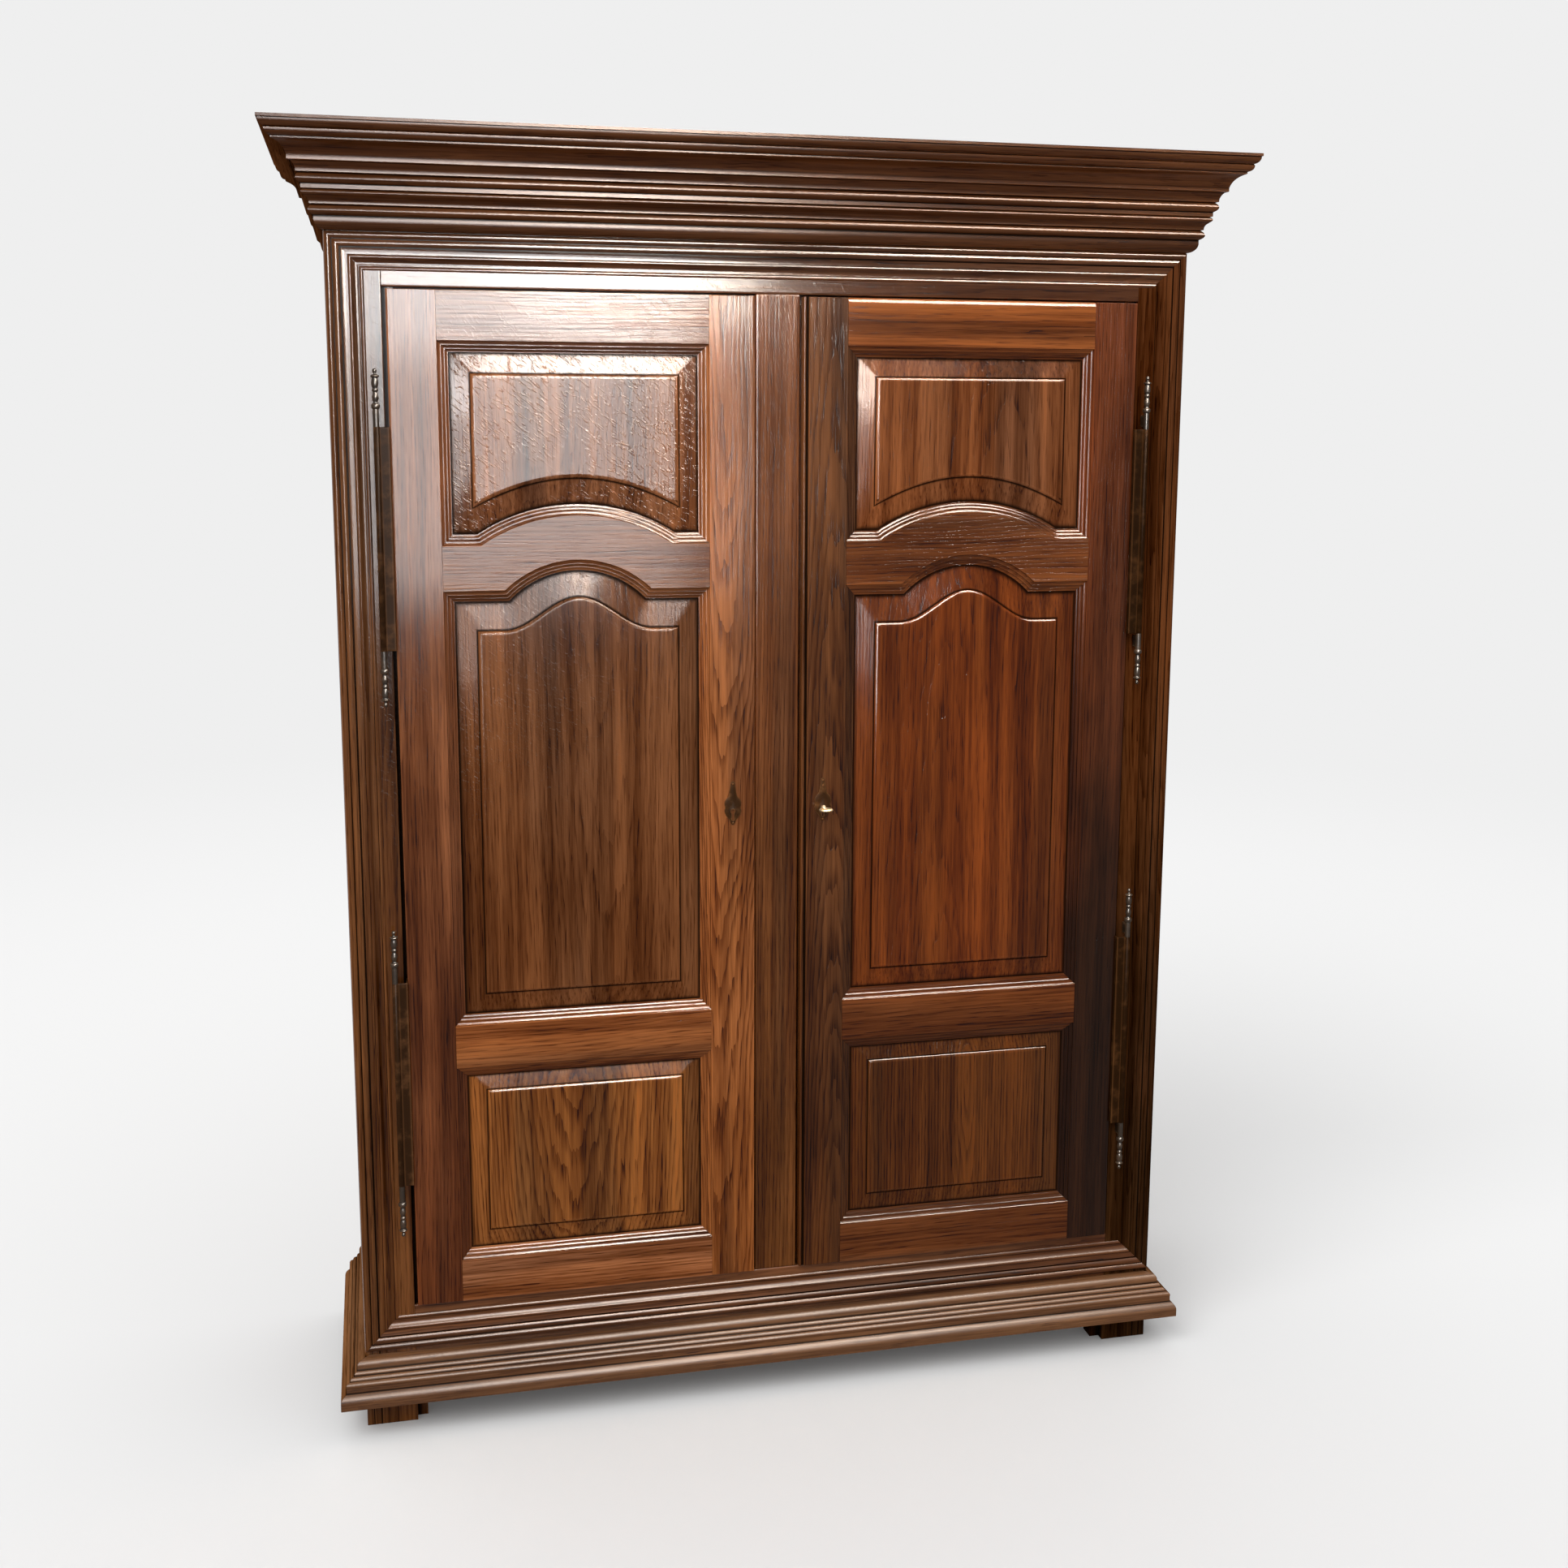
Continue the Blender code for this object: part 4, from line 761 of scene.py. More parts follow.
def openingEdge(opening, which, inset):
    # Level from each side to the arch's foot, and between them an arc whose radius changes by the inset.
    inward = 1 if which == "bottom" else -1
    left, right, middle = door["stile"] + inset, door["width"] - door["stile"] - inset, door["width"] / 2
    level = opening[which] + inward * inset
    arch = opening.get(which + "Arch")
    if arch:
        half, rise = arch
        radius = (half**2 + rise**2) / (2 * rise)
        centre = opening[which] + rise - radius
        moved = radius + inward * inset
        reach = math.asin(math.sqrt(moved**2 - (level - centre) ** 2) / moved)
        angle = np.linspace(-reach, reach, arcPoints)
        arc = np.stack([middle + moved * np.sin(angle), centre + moved * np.cos(angle)], axis=1)
    else:
        straight = np.linspace(middle - straightHalf, middle + straightHalf, arcPoints)
        arc = np.stack([straight, np.full(arcPoints, level)], axis=1)
    before = np.linspace(left, arc[0, 0], endPoints, endpoint=False)
    after = np.linspace(right, arc[-1, 0], endPoints, endpoint=False)[::-1]
    before, after = (np.stack([line, np.full(endPoints, level)], axis=1) for line in (before, after))
    return np.concatenate([before, arc, after])


def openingLoop(opening, inset):
    return np.concatenate([openingEdge(opening, "bottom", inset), openingEdge(opening, "top", inset)[::-1]])


def inDoor(side, across, depth, height):
    # (across from the hinge edge, depth behind the face, height) as places in the room
    return places(side * (door["hingeEdge"] - across), door["face"] + depth, height)


def stickingRows():
    # Insets, depths and wear from the flat down to the panel, then the panel's groove and the back edge
    points, wear = drawn(sticking)
    floor, front, rear = groove["floor"], groove["front"], groove["back"]
    back = [(floor, front), (floor, rear), (sightLine, rear), (sightLine, door["thickness"])]
    return np.concatenate([points, back]), np.concatenate([wear, [-1, -1, 0, 0]])


def outerRows(beaded):
    # From the back of a stile's outer edge round to its face: (across, depth, wear)
    arris, thickness = door["arris"], door["thickness"]
    if not beaded:
        return [
            (0, thickness, 0),
            (0, 0.004, 0),
            (0, arris, 1),
            (0.3 * arris, 0.3 * arris, 1),
            (arris, 0, 1),
            (0.004, 0, 0),
        ]
    turn, radius, crown = np.linspace(math.pi, 0, 11), 0.0025, 0.0026
    bead = [(radius + radius * math.cos(a), crown - radius * math.sin(a), 0.7) for a in turn]
    quirk = [(0.0051, 0.0032, -1), (0.0094, 0.0032, -1), (0.0098, 0.0006, 1), (0.0104, 0, 1), (0.0125, 0, 0)]
    return [(0, thickness, 0), (0, 0.006, 0), *bead, *quirk]


def stile(side, name, beaded=False):
    # The stile's section carried up the door. Its ear of sticking stands out beside each opening, between
    # mitres.
    rows, wear = stickingRows()
    outer = np.array(outerRows(beaded))
    inset = np.concatenate([np.zeros(len(outer)), np.maximum(rows[:, 0], 0)])
    start = np.concatenate([outer[:, 0], door["stile"] + np.minimum(rows[:, 0], 0)])
    depth = np.concatenate([outer[:, 1], rows[:, 1]])
    shade = np.concatenate([outer[:, 2], wear])
    last = (0.0, door["stile"], door["thickness"], 0.0)
    inset, start, depth, shade = (np.append(a, b) for a, b in zip((inset, start, depth, shade), last))
    chamfer = 0.001
    # height, how far the inset moves it, whether the ear stands out, least depth
    stations = [(door["bottom"], 0, 0, chamfer), (door["bottom"] + chamfer, 0, 0, 0)]
    for opening in (openings["lower"], openings["middle"], openings["upper"]):
        low, high = opening["bottom"], opening["top"]
        stations += [(low, 0, 0, 0), (low, 1, 1, 0), (high, -1, 1, 0), (high, 0, 0, 0)]
    stations += [(door["top"] - chamfer, 0, 0, 0), (door["top"], 0, 0, chamfer)]
    stations = np.array(stations)
    height = stations[:, 0] + stations[:, 1] * inset[:, None]
    across = start[:, None] + stations[:, 2] * inset[:, None]
    if name == "lock_stile":
        across = door["width"] - across
    points = inDoor(side, across, np.maximum(depth[:, None], stations[:, 3]), height)
    middle = door["stile"] / 2 if name == "hinge_stile" else door["width"] - door["stile"] / 2
    return shell(points, shade), side * (door["hingeEdge"] - middle)


def rail(side, above, below):
    # The rail's section carried across the door: its upper and lower rows follow the edges of the openings.
    rows, wear = stickingRows()
    left, right = door["stile"] + body["gap"], door["width"] - door["stile"] - body["gap"]
    straight = np.linspace(left, right, 2 * endPoints + arcPoints)
    thickness, arris = door["thickness"], door["arris"]
    # in from the door's edge, depth behind its face, wear and painted light
    soft = ((0, thickness, 0), (0, arris, 1), (0.3 * arris, 0.3 * arris, 1), (arris, 0, 1), (0.004, 0, 0))
    rubbedAndPaintedHighlight = (
        (0, thickness, 0),
        (0, 0.0042, 0.3),
        (0.0005, 0.0034, 1),
        (0.0062, 0.0003, 0.6),
        (0.0076, 0, 0),
        (0.0110, 0, 0),
    )

    def edge(opening, which, end, inward):
        found = []
        if opening is None:
            for up, depth, wornAndPaintedLight in rubbedAndPaintedHighlight if side > 0 and which == "bottom" else soft:
                curve = np.stack([straight, np.full(len(straight), end - inward * up)], axis=1)
                found.append((np.concatenate([curve[:1], curve, curve[-1:]]), depth, wornAndPaintedLight))
            return found
        for (inset, depth), wornAndPaintedLight in zip(rows, wear):
            curve = openingEdge(opening, which, max(inset, 0))
            curve[:, 1] += inward * min(inset, 0)
            curve[0, 0] += body["gap"]
            curve[-1, 0] -= body["gap"]
            level = opening[which] + inward * min(inset, 0)
            found.append((np.array([[left, level], *curve, [right, level]]), depth, wornAndPaintedLight))
        return found[::-1]

    upper = edge(above, "bottom", door["top"], 1)
    lower = edge(below, "top", door["bottom"], -1)
    curves, depths, shade = (np.array(column) for column in zip(*upper, *lower[::-1]))
    return shell(inDoor(side, curves[:, :, 0], depths[:, None], curves[:, :, 1]), shade)


fields = {
    # how far the raised field lies in from the frame's flat edge
    "upper": {"side": 0.052, "top": 0.052, "archFoot": 0.062},
    "middle": {"side": 0.055, "bottom": 0.055, "shoulder": 0.068, "crown": 0.063, "crownHalf": 0.125},
    "lower": {"side": 0.052, "bottom": 0.052, "top": 0.045},
    "tongue": 0.0105,  # how far in from the flat edge the tongue ends
    "tongueThickness": 0.006,
    # depths behind the door's face
    "bevelFoot": 0.0125,
    "depth": 0.0035,
    "step": 0.0030,
}


def fieldLoop(word):
    # The field's outline, with as many points as the opening's. The upper one's foot is a parabola, and the
    # middle one's head swells to a crown as (1 + cos) / 2.
    opening, field = openings[word], fields[word]
    edge, head = (openingEdge(opening, which, sightLine)[:, 0] for which in ("bottom", "top"))
    left, right = door["stile"] + field["side"], door["width"] - door["stile"] - field["side"]
    foot, top = (left + (line - line[0]) / (line[-1] - line[0]) * (right - left) for line in (edge, head))
    middle = door["width"] / 2
    if word == "upper":
        share = (foot - left) / (right - left)
        low = opening["bottom"] + field["archFoot"] + 4 * opening["bottomArch"][1] * share * (1 - share)
    else:
        low = np.full(len(foot), opening["bottom"] + field["bottom"])
    if word == "middle":
        share = np.clip((top - middle) / field["crownHalf"], -1, 1)
        shoulder = opening["top"] - field["shoulder"]
        crown = opening["top"] + opening["topArch"][1] - field["crown"]
        high = shoulder + (1 + np.cos(math.pi * share)) / 2 * (crown - shoulder)
    else:
        high = np.full(len(top), opening["top"] - field["top"])
    return np.concatenate([np.stack([foot, low], axis=1), np.stack([top, high], axis=1)[::-1]])


def panel(side, word):
    # Rings from the tongue in the groove, up the wide bevel and the step, to the flat of the raised field.
    opening = openings[word]
    tongue, line = openingLoop(opening, fields["tongue"]), openingLoop(opening, sightLine)
    field = fieldLoop(word)
    front, foot, top = fields["bevelFoot"], fields["depth"] + fields["step"], fields["depth"]

    def between(share):
        return line + share * (field - line), front + share * (foot - front)

    rings = [
        (tongue, front + fields["tongueThickness"], 0),
        (tongue, front, 0),
        (line, front, -1),
        # A darker band just inside the sticking line: painted shade along the panel's edge.
        (*between(0.10), -0.45),
        (*between(0.22), 0),
        (*between(0.90), 0),
        (field, foot, -1),
        (drawnIn(field, 0.0003), foot - 0.0007, 0),
        (drawnIn(field, 0.0014), foot - 0.0016, 0.6),
        (drawnIn(field, 0.0030), foot - 0.0025, 1),
        (drawnIn(field, 0.0046), top, 0.6),
        (drawnIn(field, 0.0070), top, 0),
    ]
    points = np.stack([inDoor(side, ring[:, 0], depth, ring[:, 1]) for ring, depth, _ in rings], axis=1)
    return shell(points, np.atleast_2d([wornAndPaintedLight for _, _, wornAndPaintedLight in rings]))


boardFigures = {
    # heart of the log: distance across from the board's middle, behind the face, lean; then ring width, how
    # strongly rings show, and fleck
    "hinge_stile": ((0.11, 0.09, 0.010), 0.0050, 0.10, 0.05),
    "lock_stile": ((0.02, 0.07, 0.030), 0.0040, 0.22, 0.05),
    "top_rail": ((0.10, 0.10, 0.006), 0.0055, 0.08, 0.14),
    "arched_rail": ((-0.12, 0.08, 0.008), 0.0055, 0.10, 0.03),
    "lower_rail": ((0.13, 0.10, 0.006), 0.0055, 0.10, 0.05),
    "bottom_rail": ((-0.11, 0.08, 0.005), 0.0055, 0.10, 0.05),
    "upper_panel": ((0.06, 0.16, 0.035), 0.0052, 0.06, 0.9),
    "middle_panel": ((-0.03, 0.09, 0.045), 0.0060, 0.08, 0.15),
    "lower_panel": ((0.01, 0.04, 0.070), 0.0060, 0.20, 0.05),
}
railPairs = {
    "top_rail": (None, "upper"),
    "arched_rail": ("upper", "middle"),
    "lower_rail": ("middle", "lower"),
    "bottom_rail": ("lower", None),
}


def doorOak(side, word, name, middle, order, seed):
    high, low = doorTones[word][name]
    (off, behind, lean), ring, rings, fleck = boardFigures[name]
    return oak(
        f"{word}_{name}",
        order=order,
        tone=high,
        lowTone=low,
        ends=stainEnds.get(f"{word}_{name}", plainOak["ends"]),
        seed=seed,
        pith=(middle + side * off, behind, lean * side),
        ring=ring,
        rings=rings,
        fleck=fleck if side < 0 else rightFleck * fleck,
        gloss=dullPanels.get(f"{word}_{name}", plainOak["gloss"]),
    )


def buildDoor(side, word):
    seed = 30.0 + 12 * side
    boards = []
    for index, name in enumerate(("hinge_stile", "lock_stile")):
        skin, middle = stile(side, name, beaded=side > 0 and name == "lock_stile")
        boards.append((name, "carved", skin, middle, "xyz", seed + index))
    for index, (name, (above, below)) in enumerate(railPairs.items()):
        skin = rail(side, openings.get(above), openings.get(below))
        boards.append((name, "carved", skin, skin[0][:, 2].mean(), "zyx", seed + 3 + index))
    for index, name in enumerate(openings):
        middle = side * (door["hingeEdge"] - door["width"] / 2)
        boards.append((f"{name}_panel", "fielded", panel(side, name), middle, "xyz", seed + 8 + index))
    for name, made, skin, *laid in boards:
        put(f"{word}_{name}", made, [skin], doorOak(side, word, name, *laid), f"{word}_door")


for doorSide, doorWord in sides:
    buildDoor(doorSide, doorWord)
print("doors done")


# Hinges

hinge = {
    "axisX": 0.667,
    "axisY": -0.189,
    "tips": {"upper": 1.842, "lower": 0.909},
    "length": 0.550,
    "barrel": 0.0050,
    "bore": 0.0034,
    "barrelHalf": 0.1827,
    "pin": 0.0030,
    "headEnd": 0.0921,  # from a tip of the pin to the end of its thick part
    "lug": {"fromTip": 0.078, "halfWidth": 0.0035, "halfHeight": 0.010},
    "strap": {"end": 0.0042, "half": 0.0015, "inset": 0.0005},  # it ends inside the barrel's wall
    "flange": {"thickness": 0.0020, "depth": 0.021, "half": 0.0014, "inset": 0.0006},
    # finial from its tip: radius, distance along the pin
    "finial": (
        (0, 0), (0.0016, 0.0003), (0.0028, 0.0014), (0.0033, 0.0034), (0.003, 0.0054), (0.0019, 0.0074),
        (0.003, 0.0092), (0.0058, 0.0104), (0.0068, 0.0118), (0.0066, 0.013), (0.0046, 0.0142),
        (0.0044, 0.016), (0.0052, 0.019), (0.0055, 0.023), (0.0052, 0.027), (0.0042, 0.03),
        (0.0036, 0.0312), (0.0047, 0.0326), (0.0049, 0.0344), (0.0043, 0.0362), (0.0033, 0.0376),
        (0.0042, 0.04), (0.0051, 0.044), (0.0052, 0.0465), (0.0045, 0.05), (0.0035, 0.053),
        (0.004, 0.0552), (0.0064, 0.0566), (0.007, 0.059), (0.0069, 0.0612), (0.006, 0.0632),
        (0.0046, 0.0642), (0.0048, 0.066), (0.0048, 0.0905), (0.0046, 0.092),
    ),
    "tone": (64, 48, 34),
    "leafTones": {"left": (80, 52, 31), "right": (68, 42, 21)},
    "leafGloss": {"left": 0.008, "right": 0.004},
}


def buildHinges(side, word):
    for spot, tip in hinge["tips"].items():
        centre = (side * hinge["axisX"], hinge["axisY"], tip - hinge["length"] / 2)
        half = hinge["length"] / 2
        curve = smoothed(hinge["finial"], 3)
        curve[:, 0] = np.maximum(curve[:, 0], 0.00002)
        head = np.stack([curve[:, 0], half - curve[:, 1]], axis=1)
        slope = np.gradient(np.gradient(head[:, 0]))
        wornAndPaintedLight = np.clip(-slope * 3500, -1, 1)
        shoulder = np.array([[hinge["pin"], half - hinge["headEnd"]]])
        profile = np.concatenate([head, shoulder, shoulder * (1, -1), (head * (1, -1))[::-1]])
        shade = np.concatenate([wornAndPaintedLight, [0, 0], wornAndPaintedLight[::-1]])
        skins = [turning(profile, centre, wear=shade)]
        lug = hinge["lug"]
        for end in (-1, 1):
            middle = centre[2] + end * (half - lug["fromTip"])
            low = (centre[0] - lug["halfWidth"], hinge["axisY"], middle - lug["halfHeight"])
            high = (centre[0] + lug["halfWidth"], body["flat"] - body["gap"], middle + lug["halfHeight"])
            skins.append(board(low, high, 1, 0.0008))
        name = f"{word}_{spot}_hinge"
        finish = agedIron(f"{name}_pin", hinge["tone"], seed=centre[2])
        put(f"{name}_pin", "turned", skins, finish, crease=50)
        reach, bore, wall = hinge["barrelHalf"], hinge["bore"], hinge["barrel"]
        soft = 0.0006  # the barrel's worn arrises
        tube = [(bore, reach), (wall - soft, reach), (wall, reach - soft), (wall, -reach + soft)]
        tube += [(wall - soft, -reach), (bore, -reach)]
        tube, angle = np.array(tube), np.linspace(0, 2 * math.pi, 37)
        points = places(np.cos(angle) * tube[:, :1], np.sin(angle) * tube[:, :1], tube[:, 1:]) + centre
        barrel = shell(points, ends=False)
        strap, flange = hinge["strap"], hinge["flange"]
        inner = side * (door["hingeEdge"] + body["gap"])
        outer, edge = side * (hinge["axisX"] - strap["end"]), inner + side * flange["thickness"]
        tall = reach - strap["inset"]
        low = (min(inner, outer), hinge["axisY"] - strap["half"], centre[2] - tall)
        high = (max(inner, outer), hinge["axisY"] + strap["half"], centre[2] + tall)
        strapSkin = board(low, high, 2, 0.0007)
        tall = reach - flange["inset"]
        low = (min(inner, edge), hinge["axisY"] - flange["half"], centre[2] - tall)
        high = (max(inner, edge), door["face"] + flange["depth"], centre[2] + tall)
        skins = [barrel, strapSkin, board(low, high, 2, 0.0005)]
        tone, gloss = hinge["leafTones"][word], hinge["leafGloss"][word]
        finish = agedIron(f"{name}_leaf", tone, seed=centre[2] + 3, gloss=gloss)
        put(f"{name}_leaf", "rolled", skins, finish, f"{word}_door", 50)


for doorSide, doorWord in sides:
    buildHinges(doorSide, doorWord)
print("hinges done")


# Escutcheons and key

escutcheon = {
    "x": 0.081,
    "z": 1.088,
    # right half of the plate's edge from its top: across, up from the keyhole
    "edge": (
        (0, 0.054), (0.003, 0.053), (0.0042, 0.049), (0.0034, 0.044), (0.005, 0.04), (0.0072, 0.035),
        (0.0062, 0.03), (0.0092, 0.025), (0.0132, 0.0205), (0.015, 0.014), (0.0136, 0.007),
        (0.015, 0.001), (0.0128, -0.006), (0.0098, -0.0105), (0.0062, -0.015), (0.0044, -0.0185),
        (0.003, -0.0225), (0, -0.024),
    ),
    "hole": 0.0034,
    "slot": {"half": 0.0018, "length": 0.016},
    # heights above the keyhole
    "nails": {"left": (0.0485, -0.0205), "right": (0.0490, 0.0395, -0.0205)},
    "nail": (0.0019, 0.0012),  # radius, rise
    "tone": (94, 61, 34),
}


def keyholeLoop(count, grow):
    # A round hole with a slot below it, as the point farthest out along each angle
    angle = np.linspace(0, 2 * math.pi, count, endpoint=False) + math.pi / 2
    away = np.stack([np.cos(angle), np.sin(angle)], axis=1)
    slot, tiny = escutcheon["slot"], 1e-9
    radius, half, length = escutcheon["hole"] + grow, slot["half"] + grow, slot["length"] + grow
    slotSide = half / np.maximum(np.abs(away[:, 0]), tiny)
    slotEnd = length / np.maximum(-away[:, 1], tiny)
    below = np.where(away[:, 1] < 0, np.minimum(slotSide, slotEnd), 0)
    return away * np.maximum(radius, below)[:, None]


def buildEscutcheon(side, word):
    # Rings from the keyhole to the plate's edge: a raised lip round the hole, a domed face and a thin rim.
    count = 96
    right = smoothed(escutcheon["edge"], 5)
    edge = np.concatenate([right, (right * (-1, 1))[-2:0:-1]])
    full = 2 * math.pi
    turn = np.mod(np.unwrap(np.arctan2(edge[:, 1], edge[:, 0])), full)
    reach = np.linalg.norm(edge, axis=1)
    order = np.argsort(turn)
    angle = np.linspace(0, full, count, endpoint=False) + math.pi / 2
    outer = np.interp(np.mod(angle, full), turn[order], reach[order], period=full)
    rim = np.stack([np.cos(angle), np.sin(angle)], axis=1) * outer[:, None]
    hole, lip = keyholeLoop(count, 0.0), keyholeLoop(count, 0.0016)
    lip = np.where(np.linalg.norm(lip, axis=1)[:, None] < outer[:, None] - 0.001, lip, rim * 0.9)
    # Rings with a wear value above 0, the lip round the hole and the rim, come out lighter: rubbed metal and
    # a painted highlight.
    rings = [
        (hole, 0.0003, 0),
        (hole, 0.0019, 0.9),
        ((hole + lip) / 2, 0.0023, 1),
        (lip, 0.0017, -0.6),
        (lip + (rim - lip) * 0.35, 0.0021, 0),
        (lip + (rim - lip) * 0.72, 0.0018, 0),
        (lip + (rim - lip) * 0.90, 0.0013, 0.2),
        (rim, 0.0009, 0.8),
        (rim, 0.0003, 0),
    ]
    x, z = side * escutcheon["x"], escutcheon["z"]
    rows = np.array([places(x + ring[:, 0], door["face"] - rise, z + ring[:, 1]) for ring, rise, _ in rings])
    rows = np.concatenate([rows, rows[:, :1]], axis=1)
    skins = [shell(rows, [wornAndPaintedLight for _, _, wornAndPaintedLight in rings], ends=False)]
    radius, nailRise = escutcheon["nail"]
    for up in escutcheon["nails"][word]:
        turnNail = np.linspace(0, math.pi / 2, 7)
        dome = np.stack([radius * np.cos(turnNail), nailRise * np.sin(turnNail)], axis=1)
        point = 0.00001  # the radius that stands for none
        profile = np.concatenate([[[point, 0.0008]], dome * (1, -1) - (0, 0.0004)])
        profile[-1, 0] = point
        centre = (x, door["face"] - 0.0014, z + up)
        # Nail heads carry full wear, so they come out light: rubbed metal and a painted highlight.
        skins.append(turning(profile, centre, axis=1, count=16, wear=1.0))
    name = f"{word}_escutcheon"
    finish = agedIron(name, escutcheon["tone"], seed=5 + side, roughness=0.36, gloss=0.006)
    put(name, "pressed", skins, finish, f"{word}_door", 60)


keyLook = {"bowWidth": 0.026, "bowLength": 0.024, "bowWire": 0.0032, "bowThick": 0.0024, "shank": 0.003}


def buildKey():
    # The shank is turned, the bow is an oval wire carried round a loop that is widest at its far end, and the
    # bit is a plate.
    x, z = escutcheon["x"], escutcheon["z"]
    start, end = door["face"] - 0.012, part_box("key")[1][1]
    shank = keyLook["shank"]
    length = end - start
    along = [0.0, 0.0008, 0.003, 0.0045, 0.0060, 0.0078, 0.0092, 0.0110, 0.0125, length - 0.001, length]
    radii = [0.0002, shank, shank * 1.1, 0.0044, 0.0050, 0.0044, 0.0032, 0.0038, shank, shank, shank * 0.8]
    shankSkin = turning(np.stack([radii, along], axis=1), (x, start, z), axis=1, count=32)
    turn = np.linspace(0, 2 * math.pi, 65)
    flare = 1.0 - 0.28 * np.sin(turn)
    half, length, wire = keyLook["bowWidth"] / 2, keyLook["bowLength"], keyLook["bowWire"]
    loop = np.stack(
        [(half * flare / 1.1 - wire) * np.cos(turn), -length / 2 + (length / 2 - wire) * np.sin(turn)], axis=1
    )
    ahead = np.gradient(loop, axis=0)
    ahead[0] = ahead[-1] = loop[1] - loop[-2]
    outward = np.stack([ahead[:, 1], -ahead[:, 0]], axis=1) / np.linalg.norm(ahead, axis=1, keepdims=True)
    ring = np.linspace(0, 2 * math.pi, 16, endpoint=False)
    across = x + loop[:, 0] + np.cos(ring)[:, None] * wire * outward[:, 0]
    depth = start + 0.002 + loop[:, 1] + np.cos(ring)[:, None] * wire * outward[:, 1]
    bow = shell(places(across, depth, z + np.sin(ring)[:, None] * keyLook["bowThick"]), ends=False)
    bit = board((x, end - 0.013, z - 0.0013), (x + 0.0135, end - 0.001, z + 0.0013), 0, 0.0004)
    put("key", "cast", [shankSkin, bow, bit], brightMetal("key", seed=2.0), "key", 50)


for doorSide, doorWord in sides:
    buildEscutcheon(doorSide, doorWord)
buildKey()
print("escutcheons and key done")


# Case behind the front

caseLook = {
    "tone": (97, 56, 27),
    "panelTone": (107, 58, 26),
    "railTone": (120, 76, 48),
    "topTone": (84, 54, 29),
    "lock_case": (92, 84, 76),
    "lock_bolt": (150, 136, 118),
    "inside": {"tone": (146, 104, 72), "roughness": 0.5, "rings": 0.2, "streaks": 0.8, "staves": 0.2},
}
insideBoards = {
    # order of the axes, seed, where the face lies, heart of the log
    "back_panel": ("xyz", 80.0, 0.24, (0.2, -0.09, 0.03)),
    "floor_board": ("yzx", 82.0, 0.225, (0.05, 0.09, 0.02)),
    "hat_shelf": ("yzx", 84.0, 1.7346, (0.02, 0.09, 0.02)),
    "shelf_cleat_left": ("zxy", 85.0, -0.72, (1.6, 0.08, 0.01)),
    "shelf_cleat_right": ("zxy", 87.0, 0.72, (1.6, 0.08, 0.01)),
}
# planks of the sides: name, axis of the grain, order of the axes
planks = (("back_post", 2, "yxz"), ("side_bottom_rail", 1, "zxy"), ("side_top_rail", 1, "zxy"))


def buildCase():
    seed = 60.0
    for side, word in sides:
        for name, axis, order in planks:
            node = f"{name}_{word}"
            low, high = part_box(node)
            width = "xyz".index(order[0])
            middle = (low[width] + high[width]) / 2
            seed += 1.7
            finish = oak(
                node,
                order=order,
                tone=caseLook["tone"],
                seed=seed,
                face=side * body["half"],
                pith=(middle + 0.09, 0.11 * -side, 0.008),
            )
            put(node, "plank", [board(low, high, axis)], finish)
        finish = oak(
            f"side_panel_{word}",
            order="yxz",
            tone=caseLook["panelTone"],
            seed=70.0 + side,
            face=side * body["half"],
            pith=(0.03, 0.07 * -side, 0.05),
            ring=0.006,
        )
        dress(f"side_panel_{word}", finish)
    for node, (order, seed, face, pith) in insideBoards.items():
        dress(node, oak(node, order=order, seed=seed, face=face, pith=pith, **caseLook["inside"]))
    rod = {"tone": caseLook["railTone"], "face": 0.05, "pith": (1.66, 0.01, 0.002)}
    dress("hanging_rail", oak("hanging_rail", order="zyx", seed=89.0, **rod))
    top = {"tone": caseLook["topTone"], "roughness": 0.5, "face": 2.21, "pith": (0.1, 0.09, 0.03)}
    dress("top_board", oak("top_board", order="yzx", seed=91.0, **top))
    for side, word in sides:
        for name, roughness, seed in (("lock_case", 0.34, side), ("lock_bolt", 0.32, side + 2)):
            iron = {"tone": caseLook[name], "seed": seed, "roughness": roughness, "gloss": 0.3}
            dress(f"{word}_{name}", agedIron(f"{word}_{name}", **iron))


buildCase()
print("case done")


# Floor, light and camera

stage = {
    "floorTone": (0.60, 0.60, 0.60),
    "floorBounce": (0.34, 0.33, 0.32),
    "background": (0.863, 0.863, 0.863),
    "sky": (0.40, 1.40),  # strength at the horizon and overhead
    "sun": {"strength": 1.8, "angle": 40.0, "towards": (0.60, 0.52, -0.80)},
    # sheens that only wax and metal reflect
    "sheens": {
        # place, aim, size, radiance, colour
        "front": ((-0.40, -4.6, 2.42), (-0.40, -0.18, 2.00), (2.0, 0.74), 108.0, "plain"),
        "high": ((0.00, -4.6, 3.62), (-0.40, -0.18, 2.00), (1.0, 0.70), 110.0, "plain"),
        "lowFront": ((-0.35, -4.6, 1.55), (-0.35, -0.18, 1.75), (1.9, 1.0), 46.0, "plain"),
        "overhead": ((1.036, -1.333, 3.314), (0.336, -0.063, 1.614), (1.2, 1.55), 160.0, "warm"),
        "ceiling": ((0.25, -3.5, 3.2), (-0.2, -0.18, 0.6), (0.9, 2.6), 170.0, "warm"),
    },
    "tints": {"plain": (1.0, 1.0, 1.0), "warm": (1.0, 0.91, 0.79)},
    "fade": (2.2, 7.0),  # how far out the floor turns into the background
    "veil": 0.06,  # share of the background in the floor close by
}


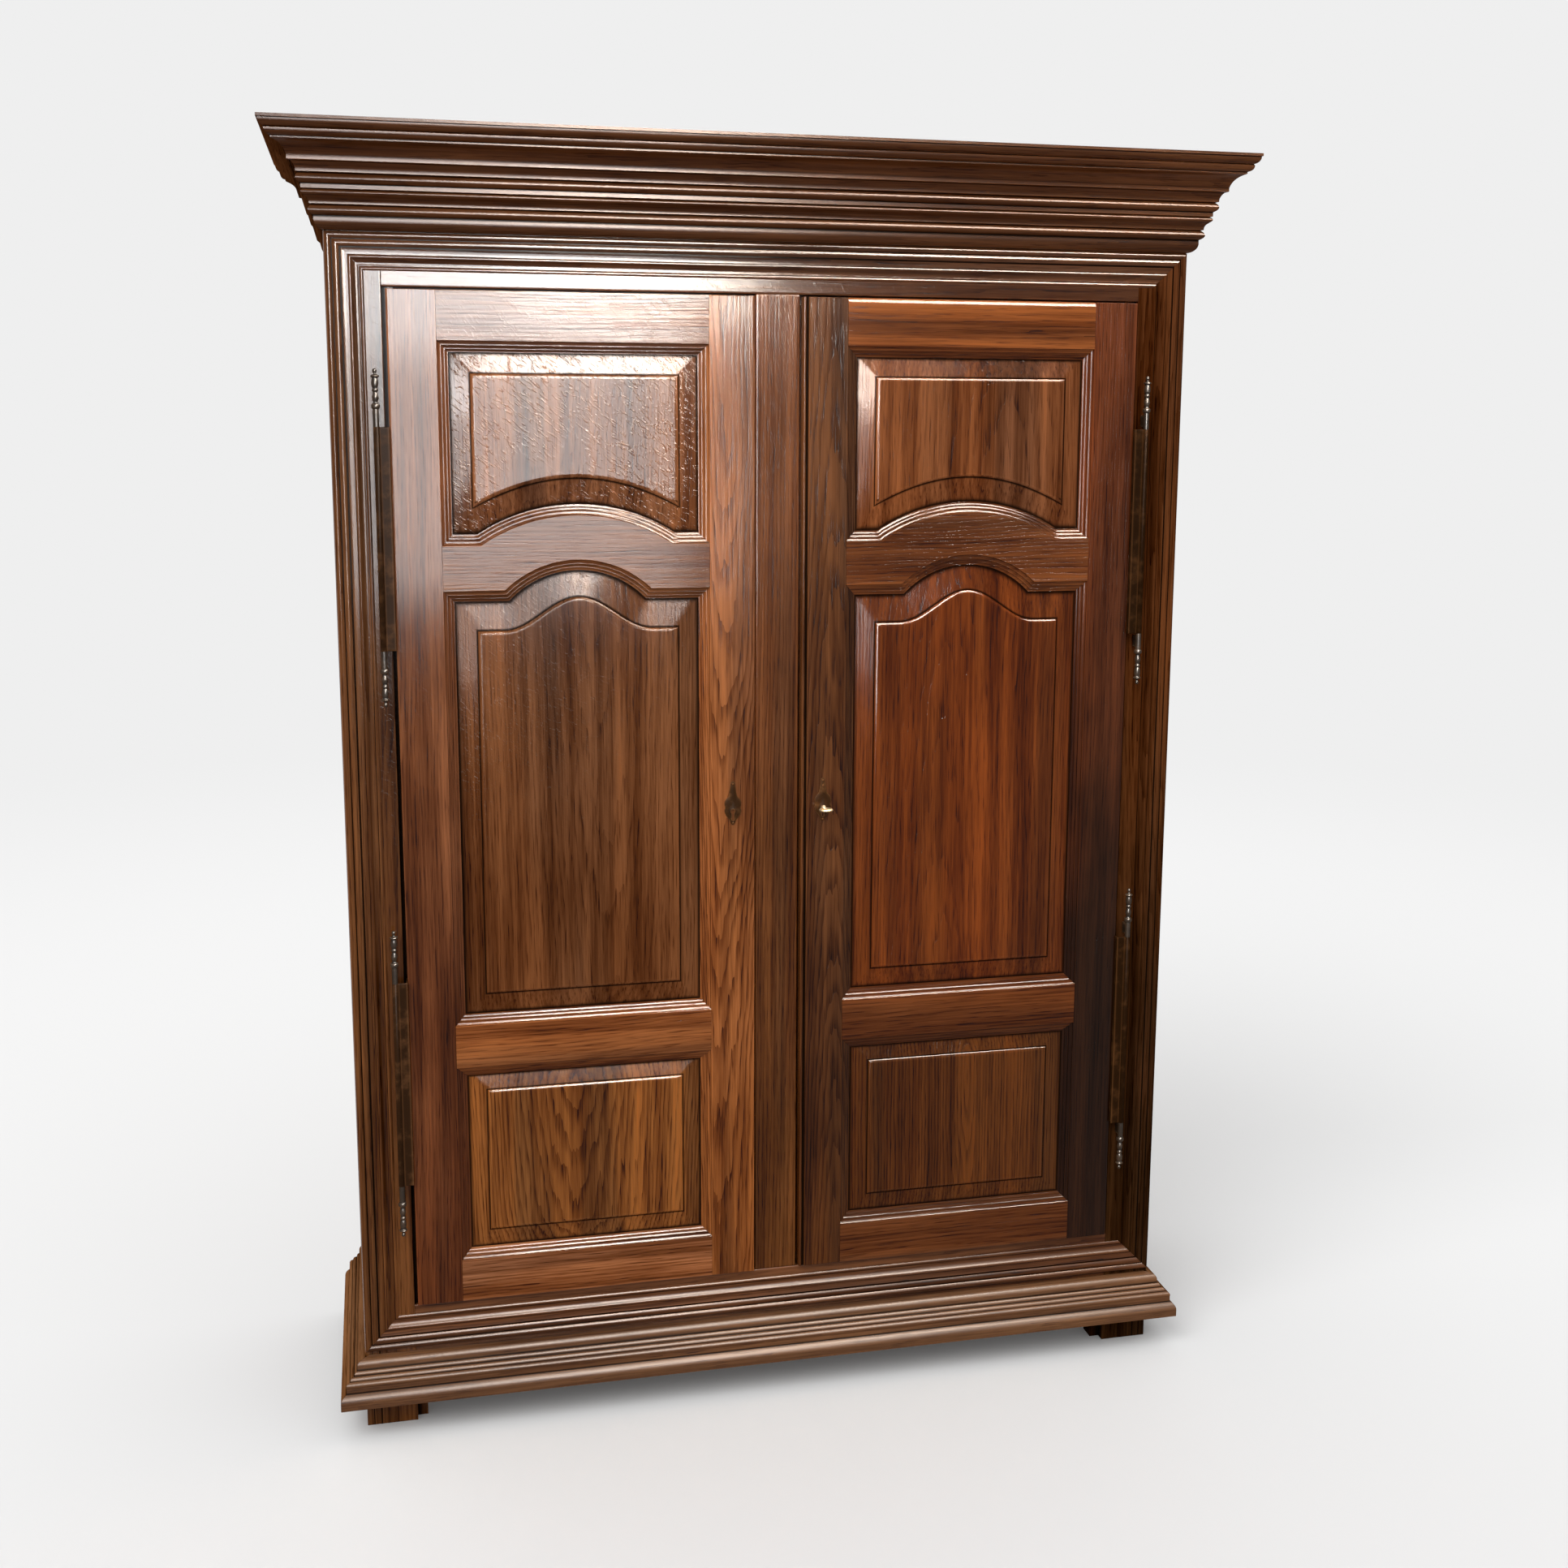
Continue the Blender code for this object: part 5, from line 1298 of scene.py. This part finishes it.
def buildStage():
    half, count = 24.0, 13
    line = np.linspace(-half, half, count)
    across, deep = np.meshgrid(line, line, indexing="ij")
    mesh = bpy.data.meshes.new("floor")
    faces = gridFaces(count, count, closed=False)[:, ::-1]
    mesh.from_pydata(places(across, deep, 0.0).reshape(-1, 3).tolist(), [], faces.tolist())
    floor = added("floor", mesh)
    f = Finish("floor_pale")
    seen = f.seenRays()
    f.set(Colour=(*stage["floorTone"], 1.0), Roughness=0.9, Specular=0.0)
    bounce = f.plain("BsdfDiffuse", stage["floorBounce"])
    glow = f.plain("Emission", stage["background"], Strength=1.0)
    (x, y, _), _ = f.coordinates()
    away = (x * x + y * y) ** 0.5
    share = stage["veil"] + away.step(*stage["fade"]) * (1 - stage["veil"])
    pale = f.blend(share, f.shader.outputs[0], glow)
    f.show(f.blend(seen, bounce, pale))
    mesh.materials.append(f.material)


def buildWorld():
    # Pale behind the object, and a soft sky that lights it a little more from above
    world = bpy.data.worlds.new("studio")
    bpy.context.scene.world = world
    f = Finish("studio", world)
    f.tree.nodes.clear()
    seen = f.seenRays()
    direction = f.node("ShaderNodeTexCoord", {}, {}).outputs["Generated"]
    height = Number(f, f.node("ShaderNodeSeparateXYZ", {}, {0: direction}).outputs[2])
    low, high = stage["sky"]
    pale = f.plain("Background", stage["background"], Strength=1.0)
    strength = low + height.step(-0.2, 1.0) * (high - low)
    soft = f.plain("Background", (1.0, 1.0, 1.0), Strength=strength)
    out = f.node("ShaderNodeOutputWorld", {}, {})
    f.show(f.blend(seen, soft, pale), out.name)


def lamp(name, kind, place, towards):
    light = bpy.data.lights.new(name, kind)
    holder = added(name, light)
    holder.location = place
    holder.rotation_euler = Vector(towards).to_track_quat("-Z", "Y").to_euler()
    return light, holder


def buildLights():
    sun = stage["sun"]
    light, _ = lamp("key_light", "SUN", (0, 0, 5), sun["towards"])
    light.energy = sun["strength"]
    light.angle = math.radians(sun["angle"])
    for name, (place, aim, size, radiance, tint) in stage["sheens"].items():
        light, holder = lamp(f"{name}_sheen", "AREA", place, np.array(aim) - np.array(place))
        light.shape = "RECTANGLE"
        light.size, light.size_y = size
        light.color = stage["tints"][tint]
        light.energy = radiance * math.pi * light.size * light.size_y
        holder.visible_diffuse = False
        holder.visible_camera = False


camera = {
    "place": (-0.670, -3.155, 1.753),
    "look": (0.2201, 0.9615, -0.1645),
    "up": (0.0332, 0.1612, 0.9864),
    "lens": 40.64,
    "shiftY": -0.040,
}


def buildCamera():
    look, up = Vector(camera["look"]).normalized(), Vector(camera["up"])
    right = look.cross(up).normalized()
    up = right.cross(look)
    data = bpy.data.cameras.new("view")
    data.lens = camera["lens"]
    data.sensor_width = 36.0
    data.shift_y = camera["shiftY"]
    holder = added("view", data)
    turn = Matrix((right, up, -look)).transposed().to_4x4()
    holder.matrix_world = Matrix.Translation(camera["place"]) @ turn
    bpy.context.scene.camera = holder


buildStage()
buildWorld()
buildLights()
buildCamera()
bpy.context.scene.view_settings.view_transform = "Standard"
print("stage done")
